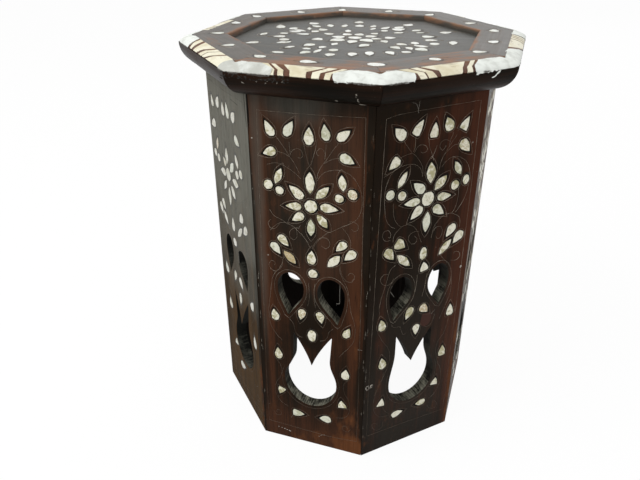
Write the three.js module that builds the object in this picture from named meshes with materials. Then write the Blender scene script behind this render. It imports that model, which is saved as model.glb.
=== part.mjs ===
// Moroccan kursi: an eight-sided inlaid stool with a shallow tray top.
// Millimetres, Z up, the origin on the ground under the middle of the stool.
// Side 1 faces minus Y, and the others follow anticlockwise seen from above.
// Seen in plan, apothem means the distance from the middle to a flat side.
import * as THREE from 'three';

// The eight-sided plan
const SIDES = 8;
const SIDE_ANGLE = (2 * Math.PI) / SIDES;
const HALF_ANGLE = SIDE_ANGLE / 2;

// Overall sizes
const HEIGHT = 480;
const BODY_ACROSS_FLATS = 311;

// Side panels
const PANEL_THICKNESS = 14;

// Edge moulding, a quarter round that carries the inlaid band
const MOULDING_HEIGHT = 32.2;
const MOULDING_PROJECTION = 24.6;
const MOULDING_ARC_STEPS = 12;

// Inlaid band on the edge of the top, a sloping face and a short steeper one below it
const BAND_WIDTH = 14.4;
const BAND_DROP = 7.5;
const SHOULDER_SETBACK = 2.8;
const SHOULDER_DROP = 4;
const BAND_THICKNESS = 2.6;
const CAP_LEG = 32;

// Tray top
const RIM_WIDTH = 36.2;
const TRAY_DEPTH = 6;
const FIELD_THICKNESS = 12;
const RIM_REBATE = 2;

// Corner blocks and cleats inside
const BLOCK_LEG = 13;
const BLOCK_DEPTH = 18;
const BLOCK_FOOT_HEIGHT = 20;
const CLEAT_SIZE = 14;
const CLEAT_LENGTH = 70;
const CLEAT_COUNT = 4;

// Glue line between two pieces
const GLUE_LINE = 0.3;

// Levels and apothems worked out from the sizes above
const bodyApothem = BODY_ACROSS_FLATS / 2;
const innerApothem = bodyApothem - PANEL_THICKNESS;
const noseApothem = bodyApothem + MOULDING_PROJECTION;
const shoulderApothem = noseApothem - SHOULDER_SETBACK;
const bandApothem = noseApothem - BAND_WIDTH;
const trayApothem = bandApothem - RIM_WIDTH;
const trayLevel = HEIGHT - TRAY_DEPTH;
const fieldUnderside = trayLevel - FIELD_THICKNESS;
const rebateLevel = trayLevel - RIM_REBATE;
const panelHeight = fieldUnderside - GLUE_LINE;
const bandFoot = HEIGHT - BAND_DROP;
const mouldingFoot = HEIGHT - MOULDING_HEIGHT;
const panelHalfWidth = halfSide(bodyApothem);
const panelWidth = 2 * panelHalfWidth;
const capStart = bandApothem * Math.tan(HALF_ANGLE) - CAP_LEG;

// Fretwork of one side: two drops over a tulip, a little different on each hand-cut side.
// An x share is of the panel's width from its middle, and a z share is of the height of the
// visible panel, from the ground to the moulding's foot.
const MEASURED_FRONT_SHARES = {
  leftDrop: { left: -0.305, right: -0.065, widest: 0.52, top: 0.564, tip: [-0.215, 0.435] },
  rightDrop: { left: 0.055, right: 0.3, widest: 0.518, top: 0.564, tip: [0.242, 0.432] },
  tulip: {
    left: -0.266, right: 0.238, widest: 0.23, bottom: 0.143,
    leftNeck: [-0.178, 0.31], rightNeck: [0.172, 0.31],
    leftHorn: [-0.168, 0.383], rightHorn: [0.19, 0.389], spike: [0, 0.285],
  },
};
const MEASURED_RIGHT_SHARES = {
  leftDrop: { left: -0.288, right: -0.06, widest: 0.515, top: 0.565, tip: [-0.235, 0.44] },
  rightDrop: { left: 0.1, right: 0.318, widest: 0.525, top: 0.574, tip: [0.235, 0.449] },
  tulip: {
    left: -0.233, right: 0.262, widest: 0.228, bottom: 0.148,
    leftNeck: [-0.187, 0.33], rightNeck: [0.2, 0.315],
    leftHorn: [-0.188, 0.389], rightHorn: [0.19, 0.385], spike: [-0.005, 0.289],
  },
};
const MEASURED_LEFT_SHARES = {
  leftDrop: { left: -0.303, right: -0.105, widest: 0.515, top: 0.557, tip: [-0.235, 0.432] },
  rightDrop: { left: 0.02, right: 0.27, widest: 0.515, top: 0.552, tip: [0.225, 0.44] },
  tulip: {
    left: -0.215, right: 0.27, widest: 0.225, bottom: 0.148,
    leftNeck: [-0.14, 0.31], rightNeck: [0.19, 0.315],
    leftHorn: [-0.15, 0.385], rightHorn: [0.222, 0.4], spike: [-0.02, 0.287],
  },
};
const PLAIN_SHARES = {
  leftDrop: { left: -0.3, right: -0.06, widest: 0.518, top: 0.564, tip: [-0.225, 0.437] },
  rightDrop: { left: 0.06, right: 0.3, widest: 0.518, top: 0.564, tip: [0.225, 0.437] },
  tulip: {
    left: -0.25, right: 0.25, widest: 0.228, bottom: 0.145,
    leftNeck: [-0.178, 0.312], rightNeck: [0.178, 0.312],
    leftHorn: [-0.187, 0.388], rightHorn: [0.187, 0.388], spike: [0, 0.287],
  },
};
const FRETWORK_BY_SIDE = [
  MEASURED_FRONT_SHARES, MEASURED_RIGHT_SHARES, PLAIN_SHARES, MEASURED_LEFT_SHARES,
  PLAIN_SHARES, MEASURED_FRONT_SHARES, PLAIN_SHARES, MEASURED_LEFT_SHARES,
];
const CURVE_STEPS = 10;

// How far a curve's handles reach, as shares of the curve's run
const ROUND_HANDLE_SHARE = 0.55;
const TIP_HANDLE_SHARE = 0.3;
const WAIST_HANDLE_SHARE = 0.42;
const SPIKE_BOW_SHARE = 0.06;

// Materials with the colours of the photograph
const finishes = {
  darkWood: { color: 0x2f1a12, roughness: 0.42, metalness: 0 },
  topWood: { color: 0x4a4038, roughness: 0.38, metalness: 0 },
  mouldingWood: { color: 0x24130d, roughness: 0.45, metalness: 0 },
  innerWood: { color: 0x57473a, roughness: 0.85, metalness: 0 },
  bone: { color: 0xe6dfc0, roughness: 0.45, metalness: 0 },
  whiteFiller: { color: 0xe9eeee, roughness: 0.7, metalness: 0 },
};

// Half the length of one side of the octagon at a given apothem
function halfSide(apothem) {
  return apothem * Math.tan(HALF_ANGLE);
}

// A named mesh of a given finish
function makeMesh(name, geometry, finish) {
  const mesh = new THREE.Mesh(geometry, new THREE.MeshStandardMaterial(finishes[finish]));
  mesh.name = name;
  return mesh;
}

// Moves each point of a geometry to where the given function puts it
function bend(geometry, place) {
  const points = geometry.getAttribute('position');
  const point = new THREE.Vector3();
  for (let i = 0; i < points.count; i += 1) {
    point.fromBufferAttribute(points, i);
    place(point);
    points.setXYZ(i, point.x, point.y, point.z);
  }
  geometry.computeVertexNormals();
  return geometry;
}

// A straight run of a section drawn as apothem and height, from one end plane to the other.
// Each end is given as its place along the side for a given apothem.
function runAlongSide(section, rightEnd, leftEnd) {
  const geometry = new THREE.ExtrudeGeometry(new THREE.Shape(section), {
    depth: 1, steps: 1, bevelEnabled: false,
  });
  return bend(geometry, (point) => {
    const [apothem, level, share] = [point.x, point.y, point.z];
    const right = rightEnd(apothem);
    const left = leftEnd(apothem);
    point.set(right + (left - right) * share, -apothem, level);
  });
}

// A run that fills its side from mitre to mitre
function mitredRun(section) {
  const end = (apothem) => halfSide(apothem) - GLUE_LINE / 2;
  return runAlongSide(section, end, (apothem) => -end(apothem));
}

// A run around the corner at the right of a side, with a leg on each of its two sides
function cornerRun(section, start) {
  const geometry = new THREE.ExtrudeGeometry(new THREE.Shape(section), {
    depth: 1, steps: 2, bevelEnabled: false,
  });
  const upright = new THREE.Vector3(0, 0, 1);
  return bend(geometry, (point) => {
    const [apothem, level, share] = [point.x, point.y, point.z];
    if (share < 0.5) {
      point.set(-start, -apothem, level).applyAxisAngle(upright, SIDE_ANGLE);
    } else if (share > 0.5) {
      point.set(start, -apothem, level);
    } else {
      point.set(halfSide(apothem), -apothem, level);
    }
  });
}

// The line that runs a given distance under an open line of a section, on its inner side
function lineUnder(line, distance) {
  return line.map((point, i) => {
    const before = line[Math.max(i - 1, 0)];
    const after = line[Math.min(i + 1, line.length - 1)];
    const along = point.clone().sub(i > 0 ? before : point).normalize();
    const onwards = after.clone().sub(i < line.length - 1 ? point : after).normalize();
    const first = i > 0 ? along : onwards;
    const second = i < line.length - 1 ? onwards : along;
    const mean = first.clone().add(second).normalize();
    const inward = new THREE.Vector2(mean.y, -mean.x);
    return point.clone().addScaledVector(inward, distance / mean.dot(first));
  });
}

// The visible line of the inlaid band, from the rim down to the nose
function bandLine() {
  return [
    new THREE.Vector2(bandApothem, HEIGHT),
    new THREE.Vector2(shoulderApothem, HEIGHT - SHOULDER_DROP),
    new THREE.Vector2(noseApothem, bandFoot),
  ];
}

// Closes the line under the band onto the band's upright inner end and its level foot
function seatLine(distance, inset) {
  const line = lineUnder(bandLine(), distance);
  const [top, shoulder, foot] = line;
  const upperSlope = (shoulder.y - top.y) / (shoulder.x - top.x);
  const lowerSlope = (foot.y - shoulder.y) / (foot.x - shoulder.x);
  const floor = bandFoot - inset;
  return [
    new THREE.Vector2(bandApothem, top.y + upperSlope * (bandApothem - top.x)),
    shoulder,
    new THREE.Vector2(shoulder.x + (floor - shoulder.y) / lowerSlope, floor),
  ];
}

// The section that bone strips and corner caps share
function bandSection() {
  return [...bandLine(), ...seatLine(BAND_THICKNESS, 0).reverse()].reverse();
}

// The quarter round under the band, rebated over the edge of the field board
function mouldingSection() {
  const inside = bodyApothem + GLUE_LINE;
  const noseLevel = bandFoot - GLUE_LINE;
  const ledge = fieldUnderside - GLUE_LINE;
  const section = [];
  for (let i = 0; i <= MOULDING_ARC_STEPS; i += 1) {
    const turn = (i / MOULDING_ARC_STEPS) * (Math.PI / 2);
    const outwards = (noseApothem - inside) * Math.sin(turn);
    const downwards = (noseLevel - mouldingFoot) * Math.cos(turn);
    section.push(new THREE.Vector2(inside + outwards, noseLevel - downwards));
  }
  section.push(...seatLine(BAND_THICKNESS + GLUE_LINE, GLUE_LINE).reverse());
  section.push(new THREE.Vector2(bandApothem, ledge));
  section.push(new THREE.Vector2(inside, ledge));
  return section;
}

// The flat rim board, from the tray to the band, let into the field board's rebate
function rimSection() {
  const outside = bandApothem - GLUE_LINE;
  const bottom = rebateLevel + GLUE_LINE;
  return [
    new THREE.Vector2(trayApothem, bottom),
    new THREE.Vector2(outside, bottom),
    new THREE.Vector2(outside, HEIGHT),
    new THREE.Vector2(trayApothem, HEIGHT),
  ];
}

// A point of the fretwork from its shares
function fretPoint([acrossShare, heightShare]) {
  return new THREE.Vector2(acrossShare * panelWidth, heightShare * mouldingFoot);
}

// A path through curves that leave and meet each point in the given directions
function curvePath(stops) {
  const path = new THREE.Path();
  path.moveTo(stops[0].at.x, stops[0].at.y);
  for (let i = 0; i < stops.length; i += 1) {
    const from = stops[i];
    const to = stops[(i + 1) % stops.length];
    const leave = from.at.clone().add(from.leave);
    const meet = to.at.clone().sub(to.meet);
    path.bezierCurveTo(leave.x, leave.y, meet.x, meet.y, to.at.x, to.at.y);
  }
  return path;
}

// One drop-shaped hole: a round head that narrows to a tip at the bottom
function dropPath(drop) {
  const tip = fretPoint(drop.tip);
  const left = fretPoint([drop.left, drop.widest]);
  const right = fretPoint([drop.right, drop.widest]);
  const top = fretPoint([(drop.left + drop.right) / 2, drop.top]);
  const across = ((right.x - left.x) / 2) * ROUND_HANDLE_SHARE;
  const rise = (top.y - left.y) * ROUND_HANDLE_SHARE;
  const fall = (left.y - tip.y) * WAIST_HANDLE_SHARE;
  const toRight = right.clone().sub(tip).multiplyScalar(TIP_HANDLE_SHARE);
  const toLeft = left.clone().sub(tip).multiplyScalar(TIP_HANDLE_SHARE);
  const up = (length) => new THREE.Vector2(0, length);
  return curvePath([
    { at: tip, leave: toRight, meet: toLeft.negate() },
    { at: right, leave: up(rise), meet: up(fall) },
    { at: top, leave: new THREE.Vector2(-across, 0), meet: new THREE.Vector2(-across, 0) },
    { at: left, leave: up(-fall), meet: up(-rise) },
  ]);
}

// The tulip-shaped hole: a round foot, a neck, two horns and a spike hanging between them
function tulipPath(tulip) {
  const bottom = fretPoint([(tulip.left + tulip.right) / 2, tulip.bottom]);
  const right = fretPoint([tulip.right, tulip.widest]);
  const left = fretPoint([tulip.left, tulip.widest]);
  const rightNeck = fretPoint(tulip.rightNeck);
  const leftNeck = fretPoint(tulip.leftNeck);
  const rightHorn = fretPoint(tulip.rightHorn);
  const leftHorn = fretPoint(tulip.leftHorn);
  const spike = fretPoint(tulip.spike);
  const across = ((right.x - left.x) / 2) * ROUND_HANDLE_SHARE;
  const rise = (right.y - bottom.y) * ROUND_HANDLE_SHARE;
  const waist = (rightNeck.y - right.y) * WAIST_HANDLE_SHARE;
  const up = (length) => new THREE.Vector2(0, length);
  const towards = (from, to) => to.clone().sub(from).multiplyScalar(TIP_HANDLE_SHARE);
  const bow = (rightHorn.x - leftHorn.x) * SPIKE_BOW_SHARE;
  const bowed = (from, to, side) => towards(from, to).add(new THREE.Vector2(side * bow, 0));
  return curvePath([
    { at: bottom, leave: new THREE.Vector2(across, 0), meet: new THREE.Vector2(across, 0) },
    { at: right, leave: up(waist), meet: up(rise) },
    { at: rightNeck, leave: towards(rightNeck, rightHorn), meet: up(waist) },
    { at: rightHorn, leave: bowed(rightHorn, spike, -1), meet: towards(rightNeck, rightHorn) },
    { at: spike, leave: bowed(spike, leftHorn, 1), meet: bowed(rightHorn, spike, 1) },
    { at: leftHorn, leave: towards(leftHorn, leftNeck), meet: bowed(spike, leftHorn, -1) },
    { at: leftNeck, leave: up(-waist), meet: towards(leftHorn, leftNeck) },
    { at: left, leave: up(-rise), meet: up(-waist) },
  ]);
}

// A side panel with mitred long edges and its fretwork cut straight through
function sidePanel(shares) {
  const corners = [
    new THREE.Vector2(-panelHalfWidth, 0),
    new THREE.Vector2(panelHalfWidth, 0),
    new THREE.Vector2(panelHalfWidth, panelHeight),
    new THREE.Vector2(-panelHalfWidth, panelHeight),
  ];
  const shape = new THREE.Shape(corners);
  shape.holes.push(dropPath(shares.leftDrop), dropPath(shares.rightDrop), tulipPath(shares.tulip));
  const geometry = new THREE.ExtrudeGeometry(shape, {
    depth: PANEL_THICKNESS, steps: 1, curveSegments: CURVE_STEPS, bevelEnabled: false,
  });
  return bend(geometry, (point) => {
    const apothem = innerApothem + point.z;
    const onLongEdge = Math.abs(point.x) > panelHalfWidth - GLUE_LINE;
    const mitre = Math.sign(point.x) * (halfSide(apothem) - GLUE_LINE / 2);
    point.set(onLongEdge ? mitre : point.x, -apothem, point.y);
  });
}

// The tray's field board, an octagon that reaches out to the moulding, with a rebate around
// its upper edge for the rim boards
function fieldBoard() {
  const cornerRadius = (apothem) => (apothem - GLUE_LINE) / Math.cos(HALF_ANGLE);
  const edge = cornerRadius(bandApothem);
  const shoulder = cornerRadius(trayApothem);
  const profile = [
    new THREE.Vector2(0, fieldUnderside),
    new THREE.Vector2(edge, fieldUnderside),
    new THREE.Vector2(edge, rebateLevel),
    new THREE.Vector2(shoulder, rebateLevel),
    new THREE.Vector2(shoulder, trayLevel),
    new THREE.Vector2(0, trayLevel),
  ];
  return new THREE.LatheGeometry(profile, SIDES, HALF_ANGLE).rotateX(Math.PI / 2);
}

// A glue block in the corner at the right of a side, as a kite in plan
function cornerBlock() {
  const cornerRadius = (innerApothem - GLUE_LINE) / Math.cos(HALF_ANGLE);
  const legOut = BLOCK_LEG * Math.sin(HALF_ANGLE);
  const legAcross = BLOCK_LEG * Math.cos(HALF_ANGLE);
  const kite = [
    new THREE.Vector2(cornerRadius, 0),
    new THREE.Vector2(cornerRadius - legOut, legAcross),
    new THREE.Vector2(cornerRadius - BLOCK_DEPTH, 0),
    new THREE.Vector2(cornerRadius - legOut, -legAcross),
  ];
  const geometry = new THREE.ExtrudeGeometry(new THREE.Shape(kite), {
    depth: panelHeight - BLOCK_FOOT_HEIGHT, steps: 1, bevelEnabled: false,
  });
  geometry.rotateZ(HALF_ANGLE - Math.PI / 2);
  return geometry.translate(0, 0, BLOCK_FOOT_HEIGHT);
}

// A cleat that ties the field board to the inside of a side panel
function cleat() {
  const geometry = new THREE.BoxGeometry(CLEAT_LENGTH, CLEAT_SIZE, CLEAT_SIZE);
  const reach = innerApothem - GLUE_LINE - CLEAT_SIZE / 2;
  return geometry.translate(0, -reach, panelHeight - CLEAT_SIZE / 2);
}

// One strip of bone between two corner caps
function boneStrip() {
  const end = capStart - GLUE_LINE;
  return runAlongSide(bandSection(), () => end, () => -end);
}

// Everything that belongs to one side and the corner at its right
function makeSide(index) {
  const number = index + 1;
  const side = new THREE.Group();
  side.rotation.z = index * SIDE_ANGLE;
  side.add(
    makeMesh(`side_panel_${number}`, sidePanel(FRETWORK_BY_SIDE[index]), 'darkWood'),
    makeMesh(`edge_moulding_${number}`, mitredRun(mouldingSection()), 'mouldingWood'),
    makeMesh(`rim_board_${number}`, mitredRun(rimSection()), 'topWood'),
    makeMesh(`bone_strip_${number}`, boneStrip(), 'bone'),
    makeMesh(`corner_cap_${number}`, cornerRun(bandSection(), capStart), 'whiteFiller'),
    makeMesh(`corner_block_${number}`, cornerBlock(), 'innerWood'),
  );
  const sidesPerCleat = SIDES / CLEAT_COUNT;
  if (index % sidesPerCleat === 0) {
    side.add(makeMesh(`top_cleat_${index / sidesPerCleat + 1}`, cleat(), 'innerWood'));
  }
  return side;
}

// The whole stool
const stool = new THREE.Group();
stool.add(makeMesh('field_board', fieldBoard(), 'topWood'));
for (let index = 0; index < SIDES; index += 1) {
  stool.add(makeSide(index));
}

export default stool;
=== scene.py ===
# %% [markdown]
# # Dressing an eight-sided inlaid stool
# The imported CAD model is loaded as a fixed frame. It holds the boards, the moulding and the edge
# band at their real sizes. This lesson gives the boards their wood, sets pearl, wire, bone and
# filler into them, and lights them as in the photograph. Every size comes from the frame, or is
# named in the cell that first needs it, in metres.
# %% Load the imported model
import math

import bmesh
import bpy
import numpy as np
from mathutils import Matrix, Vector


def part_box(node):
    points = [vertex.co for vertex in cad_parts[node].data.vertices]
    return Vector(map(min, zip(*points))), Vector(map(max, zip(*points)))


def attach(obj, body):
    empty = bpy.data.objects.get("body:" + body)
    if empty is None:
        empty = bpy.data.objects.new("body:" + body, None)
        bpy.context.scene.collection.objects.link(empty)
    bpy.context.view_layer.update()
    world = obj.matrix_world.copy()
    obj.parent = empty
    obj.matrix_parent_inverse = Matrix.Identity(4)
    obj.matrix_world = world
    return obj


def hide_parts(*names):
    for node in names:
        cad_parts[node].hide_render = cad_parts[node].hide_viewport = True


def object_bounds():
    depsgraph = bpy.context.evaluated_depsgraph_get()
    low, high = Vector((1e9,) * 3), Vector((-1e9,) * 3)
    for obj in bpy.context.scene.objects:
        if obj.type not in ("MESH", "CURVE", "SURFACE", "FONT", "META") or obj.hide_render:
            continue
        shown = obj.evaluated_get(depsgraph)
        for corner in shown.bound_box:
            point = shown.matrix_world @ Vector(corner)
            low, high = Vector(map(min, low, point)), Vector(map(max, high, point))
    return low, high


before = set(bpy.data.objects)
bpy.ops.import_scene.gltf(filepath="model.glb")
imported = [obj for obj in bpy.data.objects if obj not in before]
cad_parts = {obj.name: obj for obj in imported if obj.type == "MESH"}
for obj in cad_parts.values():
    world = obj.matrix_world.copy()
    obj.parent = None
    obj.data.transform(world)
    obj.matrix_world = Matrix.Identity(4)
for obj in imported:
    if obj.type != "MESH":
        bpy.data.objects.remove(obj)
cad_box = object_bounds()
print("nodes in the frame:", len(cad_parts))

# %% [markdown]
# ## Sizes
# The stool is an octagon in plan. Its third side faces plus X, so the x values of that side's
# nodes are apothems: distances from the middle of the stool to a flat side.
# %% Sizes read from the frame
SIDES = 8
TURN = 2 * math.pi / SIDES
HALF_TURN = TURN / 2
SIDE_NUMBERS = range(1, SIDES + 1)

height = cad_box[1][2]
panel_low, panel_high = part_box("side_panel_3")
moulding_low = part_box("edge_moulding_3")[0]
band_low, band_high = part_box("bone_strip_3")
rim_low, rim_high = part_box("rim_board_3")
field_low, field_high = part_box("field_board")
body_apothem = panel_high.x
inner_apothem = panel_low.x
nose_apothem = band_high.x
band_apothem = band_low.x
band_foot = band_low.z
tray_apothem = rim_low.x
tray_level = field_high.z
visible_height = moulding_low.z
panel_width = 2 * body_apothem * math.tan(HALF_TURN)
print(f"panel {panel_width:.4f} wide, {visible_height:.4f} visible, top {2 * nose_apothem:.4f} across")


# %% [markdown]
# ## Places on a side
# Everything on a side is worked out as if that side faced the reader: across to the right, out
# from the middle, and up. One turn about the upright axis then carries it to its own side.
# %% From a side's own coordinates to the frame
def half_side(apothem):
    """Half the length of a side of the octagon: the apothem times the tangent of half a turn."""
    return apothem * math.tan(HALF_TURN)


def on_side(number, across, out, up):
    """Turns across, out and up about the upright axis by the side's share of a full circle."""
    turn = (number - 1) * TURN
    x = across * math.cos(turn) + out * math.sin(turn)
    y = across * math.sin(turn) - out * math.cos(turn)
    return np.stack(np.broadcast_arrays(x, y, up), axis=-1)


def from_side(number, points):
    """The way back: across, out and up of points in the frame."""
    turn = (number - 1) * TURN
    across = points[:, 0] * math.cos(turn) + points[:, 1] * math.sin(turn)
    out = points[:, 0] * math.sin(turn) - points[:, 1] * math.cos(turn)
    return np.stack([across, out, points[:, 2]], axis=-1)


print("each side is turned by", math.degrees(TURN), "degrees")


# %% [markdown]
# ## Surfaces from arrays
# Each new piece is a grid of points that numpy works out at once. Rows of points are joined by
# quads, and a solid is closed by a face at each end. Small parts are gathered and become one mesh.
# %% Grids, solids and meshes
SHARP_DEGREES = 40


def grid_faces(rows, columns, round_columns, round_rows=False):
    """Quads between neighbouring rows and columns of points that are stored row by row."""
    row = np.arange(rows if round_rows else rows - 1)[:, None]
    column = np.arange(columns if round_columns else columns - 1)[None, :]
    row_after = (row + 1) % rows
    column_after = (column + 1) % columns
    corners = (row * columns + column, row * columns + column_after,
               row_after * columns + column_after, row_after * columns + column)
    return np.stack(np.broadcast_arrays(*corners), axis=-1).reshape(-1, 4)


def closed_run(rings):
    """Joins rings of points, an array of ring, point and xyz, and closes both ends with a face."""
    count, size = rings.shape[:2]
    first = np.arange(size)[None, :]
    last = (count - 1) * size + first
    return rings.reshape(-1, 3), [grid_faces(count, size, True), first, last]


def gather(parts):
    """Puts several parts, each its points and its groups of faces, into one list of each."""
    points, faces, start = [], [], 0
    for part_points, part_faces in parts:
        points.append(part_points)
        faces += [group + start for group in part_faces]
        start += len(part_points)
    return np.concatenate(points), faces


def add_object(name, data):
    """A new object of the scene that holds a mesh, a lamp or a camera."""
    holder = bpy.data.objects.new(name, data)
    bpy.context.scene.collection.objects.link(holder)
    return holder


def set_values(mesh, label, values):
    """Writes one number, or one vector, for each point of a mesh."""
    kind, key = ("FLOAT_VECTOR", "vector") if values.ndim > 1 else ("FLOAT", "value")
    layer = mesh.attributes.new(label, kind, "POINT")
    layer.data.foreach_set(key, values.astype(np.float32).ravel())


def add_piece(name, points, faces, finish, sharp=SHARP_DEGREES, attributes=None, slot=None):
    """Makes a mesh object from points and groups of faces, with its faces turned outwards."""
    mesh = bpy.data.meshes.new(name)
    mesh.from_pydata(points.tolist(), [], [corner for group in faces for corner in group.tolist()])
    for label, values in (attributes or {}).items():
        set_values(mesh, label, values)
    work = bmesh.new()
    work.from_mesh(mesh)
    bmesh.ops.recalc_face_normals(work, faces=work.faces)
    work.to_mesh(mesh)
    work.free()
    mesh.shade_smooth()
    mesh.set_sharp_from_angle(angle=math.radians(sharp))
    mesh.materials.append(finish)
    piece = add_object(name, mesh)
    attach(piece, "root")
    return piece


print("folds over", SHARP_DEGREES, "degrees stay sharp")

# %% [markdown]
# ## Shader sums
# A finish is a set of nodes. Written as sums on sockets, it reads like a recipe: a small class
# wraps a socket, and each operator on it adds one Math node.
# %% The socket class and the recipe class
class Value:
    """A socket of numbers that can stand in sums."""

    def __init__(self, recipe, socket):
        self.recipe = recipe
        self.socket = socket

    def sum(self, operation, first, second):
        return self.recipe.node("ShaderNodeMath", {"operation": operation}, {0: first, 1: second})

    def __add__(self, other):
        return self.sum("ADD", self, other)

    def __radd__(self, other):
        return self.sum("ADD", other, self)

    def __sub__(self, other):
        return self.sum("SUBTRACT", self, other)

    def __rsub__(self, other):
        return self.sum("SUBTRACT", other, self)

    def __mul__(self, other):
        return self.sum("MULTIPLY", self, other)

    def __rmul__(self, other):
        return self.sum("MULTIPLY", other, self)


class Recipe:
    """The nodes of one finish, or of the world."""

    def __init__(self, name, library="materials"):
        self.owner = getattr(bpy.data, library).new(name)
        self.owner.use_nodes = True
        self.tree = self.owner.node_tree
        self.tree.nodes.clear()

    def node(self, kind, settings=None, values=None, output=0):
        """Adds a node, sets its settings first, then its sockets, and returns one output."""
        made = self.tree.nodes.new(kind)
        for key, setting in (settings or {}).items():
            setattr(made, key, setting)
        for key, value in (values or {}).items():
            if isinstance(value, Value):
                self.tree.links.new(value.socket, made.inputs[key])
            else:
                made.inputs[key].default_value = value
        return Value(self, made.outputs[output])

    def place(self, attribute=None):
        """The Object coordinates, or the piece's own attribute where a pattern follows it."""
        if attribute is None:
            return self.node("ShaderNodeTexCoord", output="Object")
        return self.node("ShaderNodeAttribute", {"attribute_name": attribute}, output="Vector")

    def number(self, attribute):
        """A number that the piece carries on its points."""
        return self.node("ShaderNodeAttribute", {"attribute_name": attribute}, output="Fac")

    def stretch(self, vector, x, y, z):
        """The vector with each part made longer or shorter."""
        return self.node("ShaderNodeVectorMath", {"operation": "MULTIPLY"}, {0: vector, 1: (x, y, z)})

    def part(self, vector, axis):
        """One part of a vector as a number."""
        return self.node("ShaderNodeSeparateXYZ", None, {0: vector}, output=axis)

    def noise(self, vector, scale, detail, rough, bend=0):
        """Cloudy noise from 0 to 1, with scale in spots to the metre."""
        values = {"Vector": vector, "Scale": scale, "Detail": detail, "Roughness": rough,
                  "Distortion": bend}
        return self.node("ShaderNodeTexNoise", None, values, output="Fac")

    def step(self, value, low, high):
        """A soft step: 0 below low, 1 above high, and smooth between them."""
        values = {"Value": value, "From Min": low, "From Max": high}
        return self.node("ShaderNodeMapRange", {"interpolation_type": "SMOOTHSTEP"}, values)

    def mix(self, share, first, second):
        """A colour between two, by a share from 0 to 1."""
        first = (*first, 1) if isinstance(first, tuple) else first
        second = (*second, 1) if isinstance(second, tuple) else second
        settings = {"data_type": "RGBA", "clamp_factor": True}
        return self.node("ShaderNodeMix", settings, {0: share, 6: first, 7: second}, output=2)

    def bump(self, height_value, depth, strength, under=None):
        """A normal that follows a height, with depth in metres."""
        values = {"Height": height_value, "Distance": depth, "Strength": strength}
        if under is not None:
            values["Normal"] = under
        return self.node("ShaderNodeBump", None, values)

    def finish(self, colour, roughness, normal=None, **settings):
        """Ends the recipe in one Principled surface and returns the material."""
        values = {"Base Color": colour, "Roughness": roughness}
        if normal is not None:
            values["Normal"] = normal
        values.update({key.replace("_", " "): value for key, value in settings.items()})
        surface = self.node("ShaderNodeBsdfPrincipled", None, values)
        return self.output(surface)

    def output(self, surface, kind="ShaderNodeOutputMaterial"):
        """Links a surface to the output and returns the material or the world."""
        made = self.tree.nodes.new(kind)
        self.tree.links.new(surface.socket, made.inputs["Surface"])
        return self.owner


print("sums are written with", Value.__name__, "and", Recipe.__name__)


# %% [markdown]
# ## Wood
# The boards are old walnut, stained dark and rubbed with wax: fine dark pores run along the grain,
# broad bands of red and black lie under them, and the arrises are worn to orange. Every board
# carries its own grain coordinates, with z along the grain, so one recipe serves all of them.
# %% One recipe for all the stained wood
PORE_DEPTH = 0.00012
WARP_DEPTH = 0.0012
DRY_SHARE = 0.35


def spot_mask(recipe, board, middle, radii, ragged, second=2):
    """A soft round spot on a board: 1 in its middle, and 0 where the squared distance, measured in
    radii and made ragged by a noise, passes 1. The second part that counts is z, or what is named."""
    across = (recipe.part(board, 0) - middle[0]) * (1 / radii[0])
    up = (recipe.part(board, second) - middle[1]) * (1 / radii[1])
    return 1 - recipe.step(across * across + up * up + ragged, 0, 1)


def spotted(recipe, spots, clouds, tone, wear):
    """Adds every spot to what it changes: the wear, a grey that is partly bloom and partly painted sheen, or
    the tone up or down.
    """
    bloom_and_sheen = None
    for kind, across, up, wide, tall, strength in spots:
        mask = spot_mask(recipe, recipe.place("board"), (across, up), (wide, tall), clouds - 0.5)
        if kind == "worn":
            wear = wear + mask * strength
        elif kind == "bloom_and_sheen":
            bloom_and_sheen = mask * strength if bloom_and_sheen is None else bloom_and_sheen + mask * strength
        else:
            tone = tone + mask * (strength if kind == "warm" else -strength)
    return tone, wear, bloom_and_sheen


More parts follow.
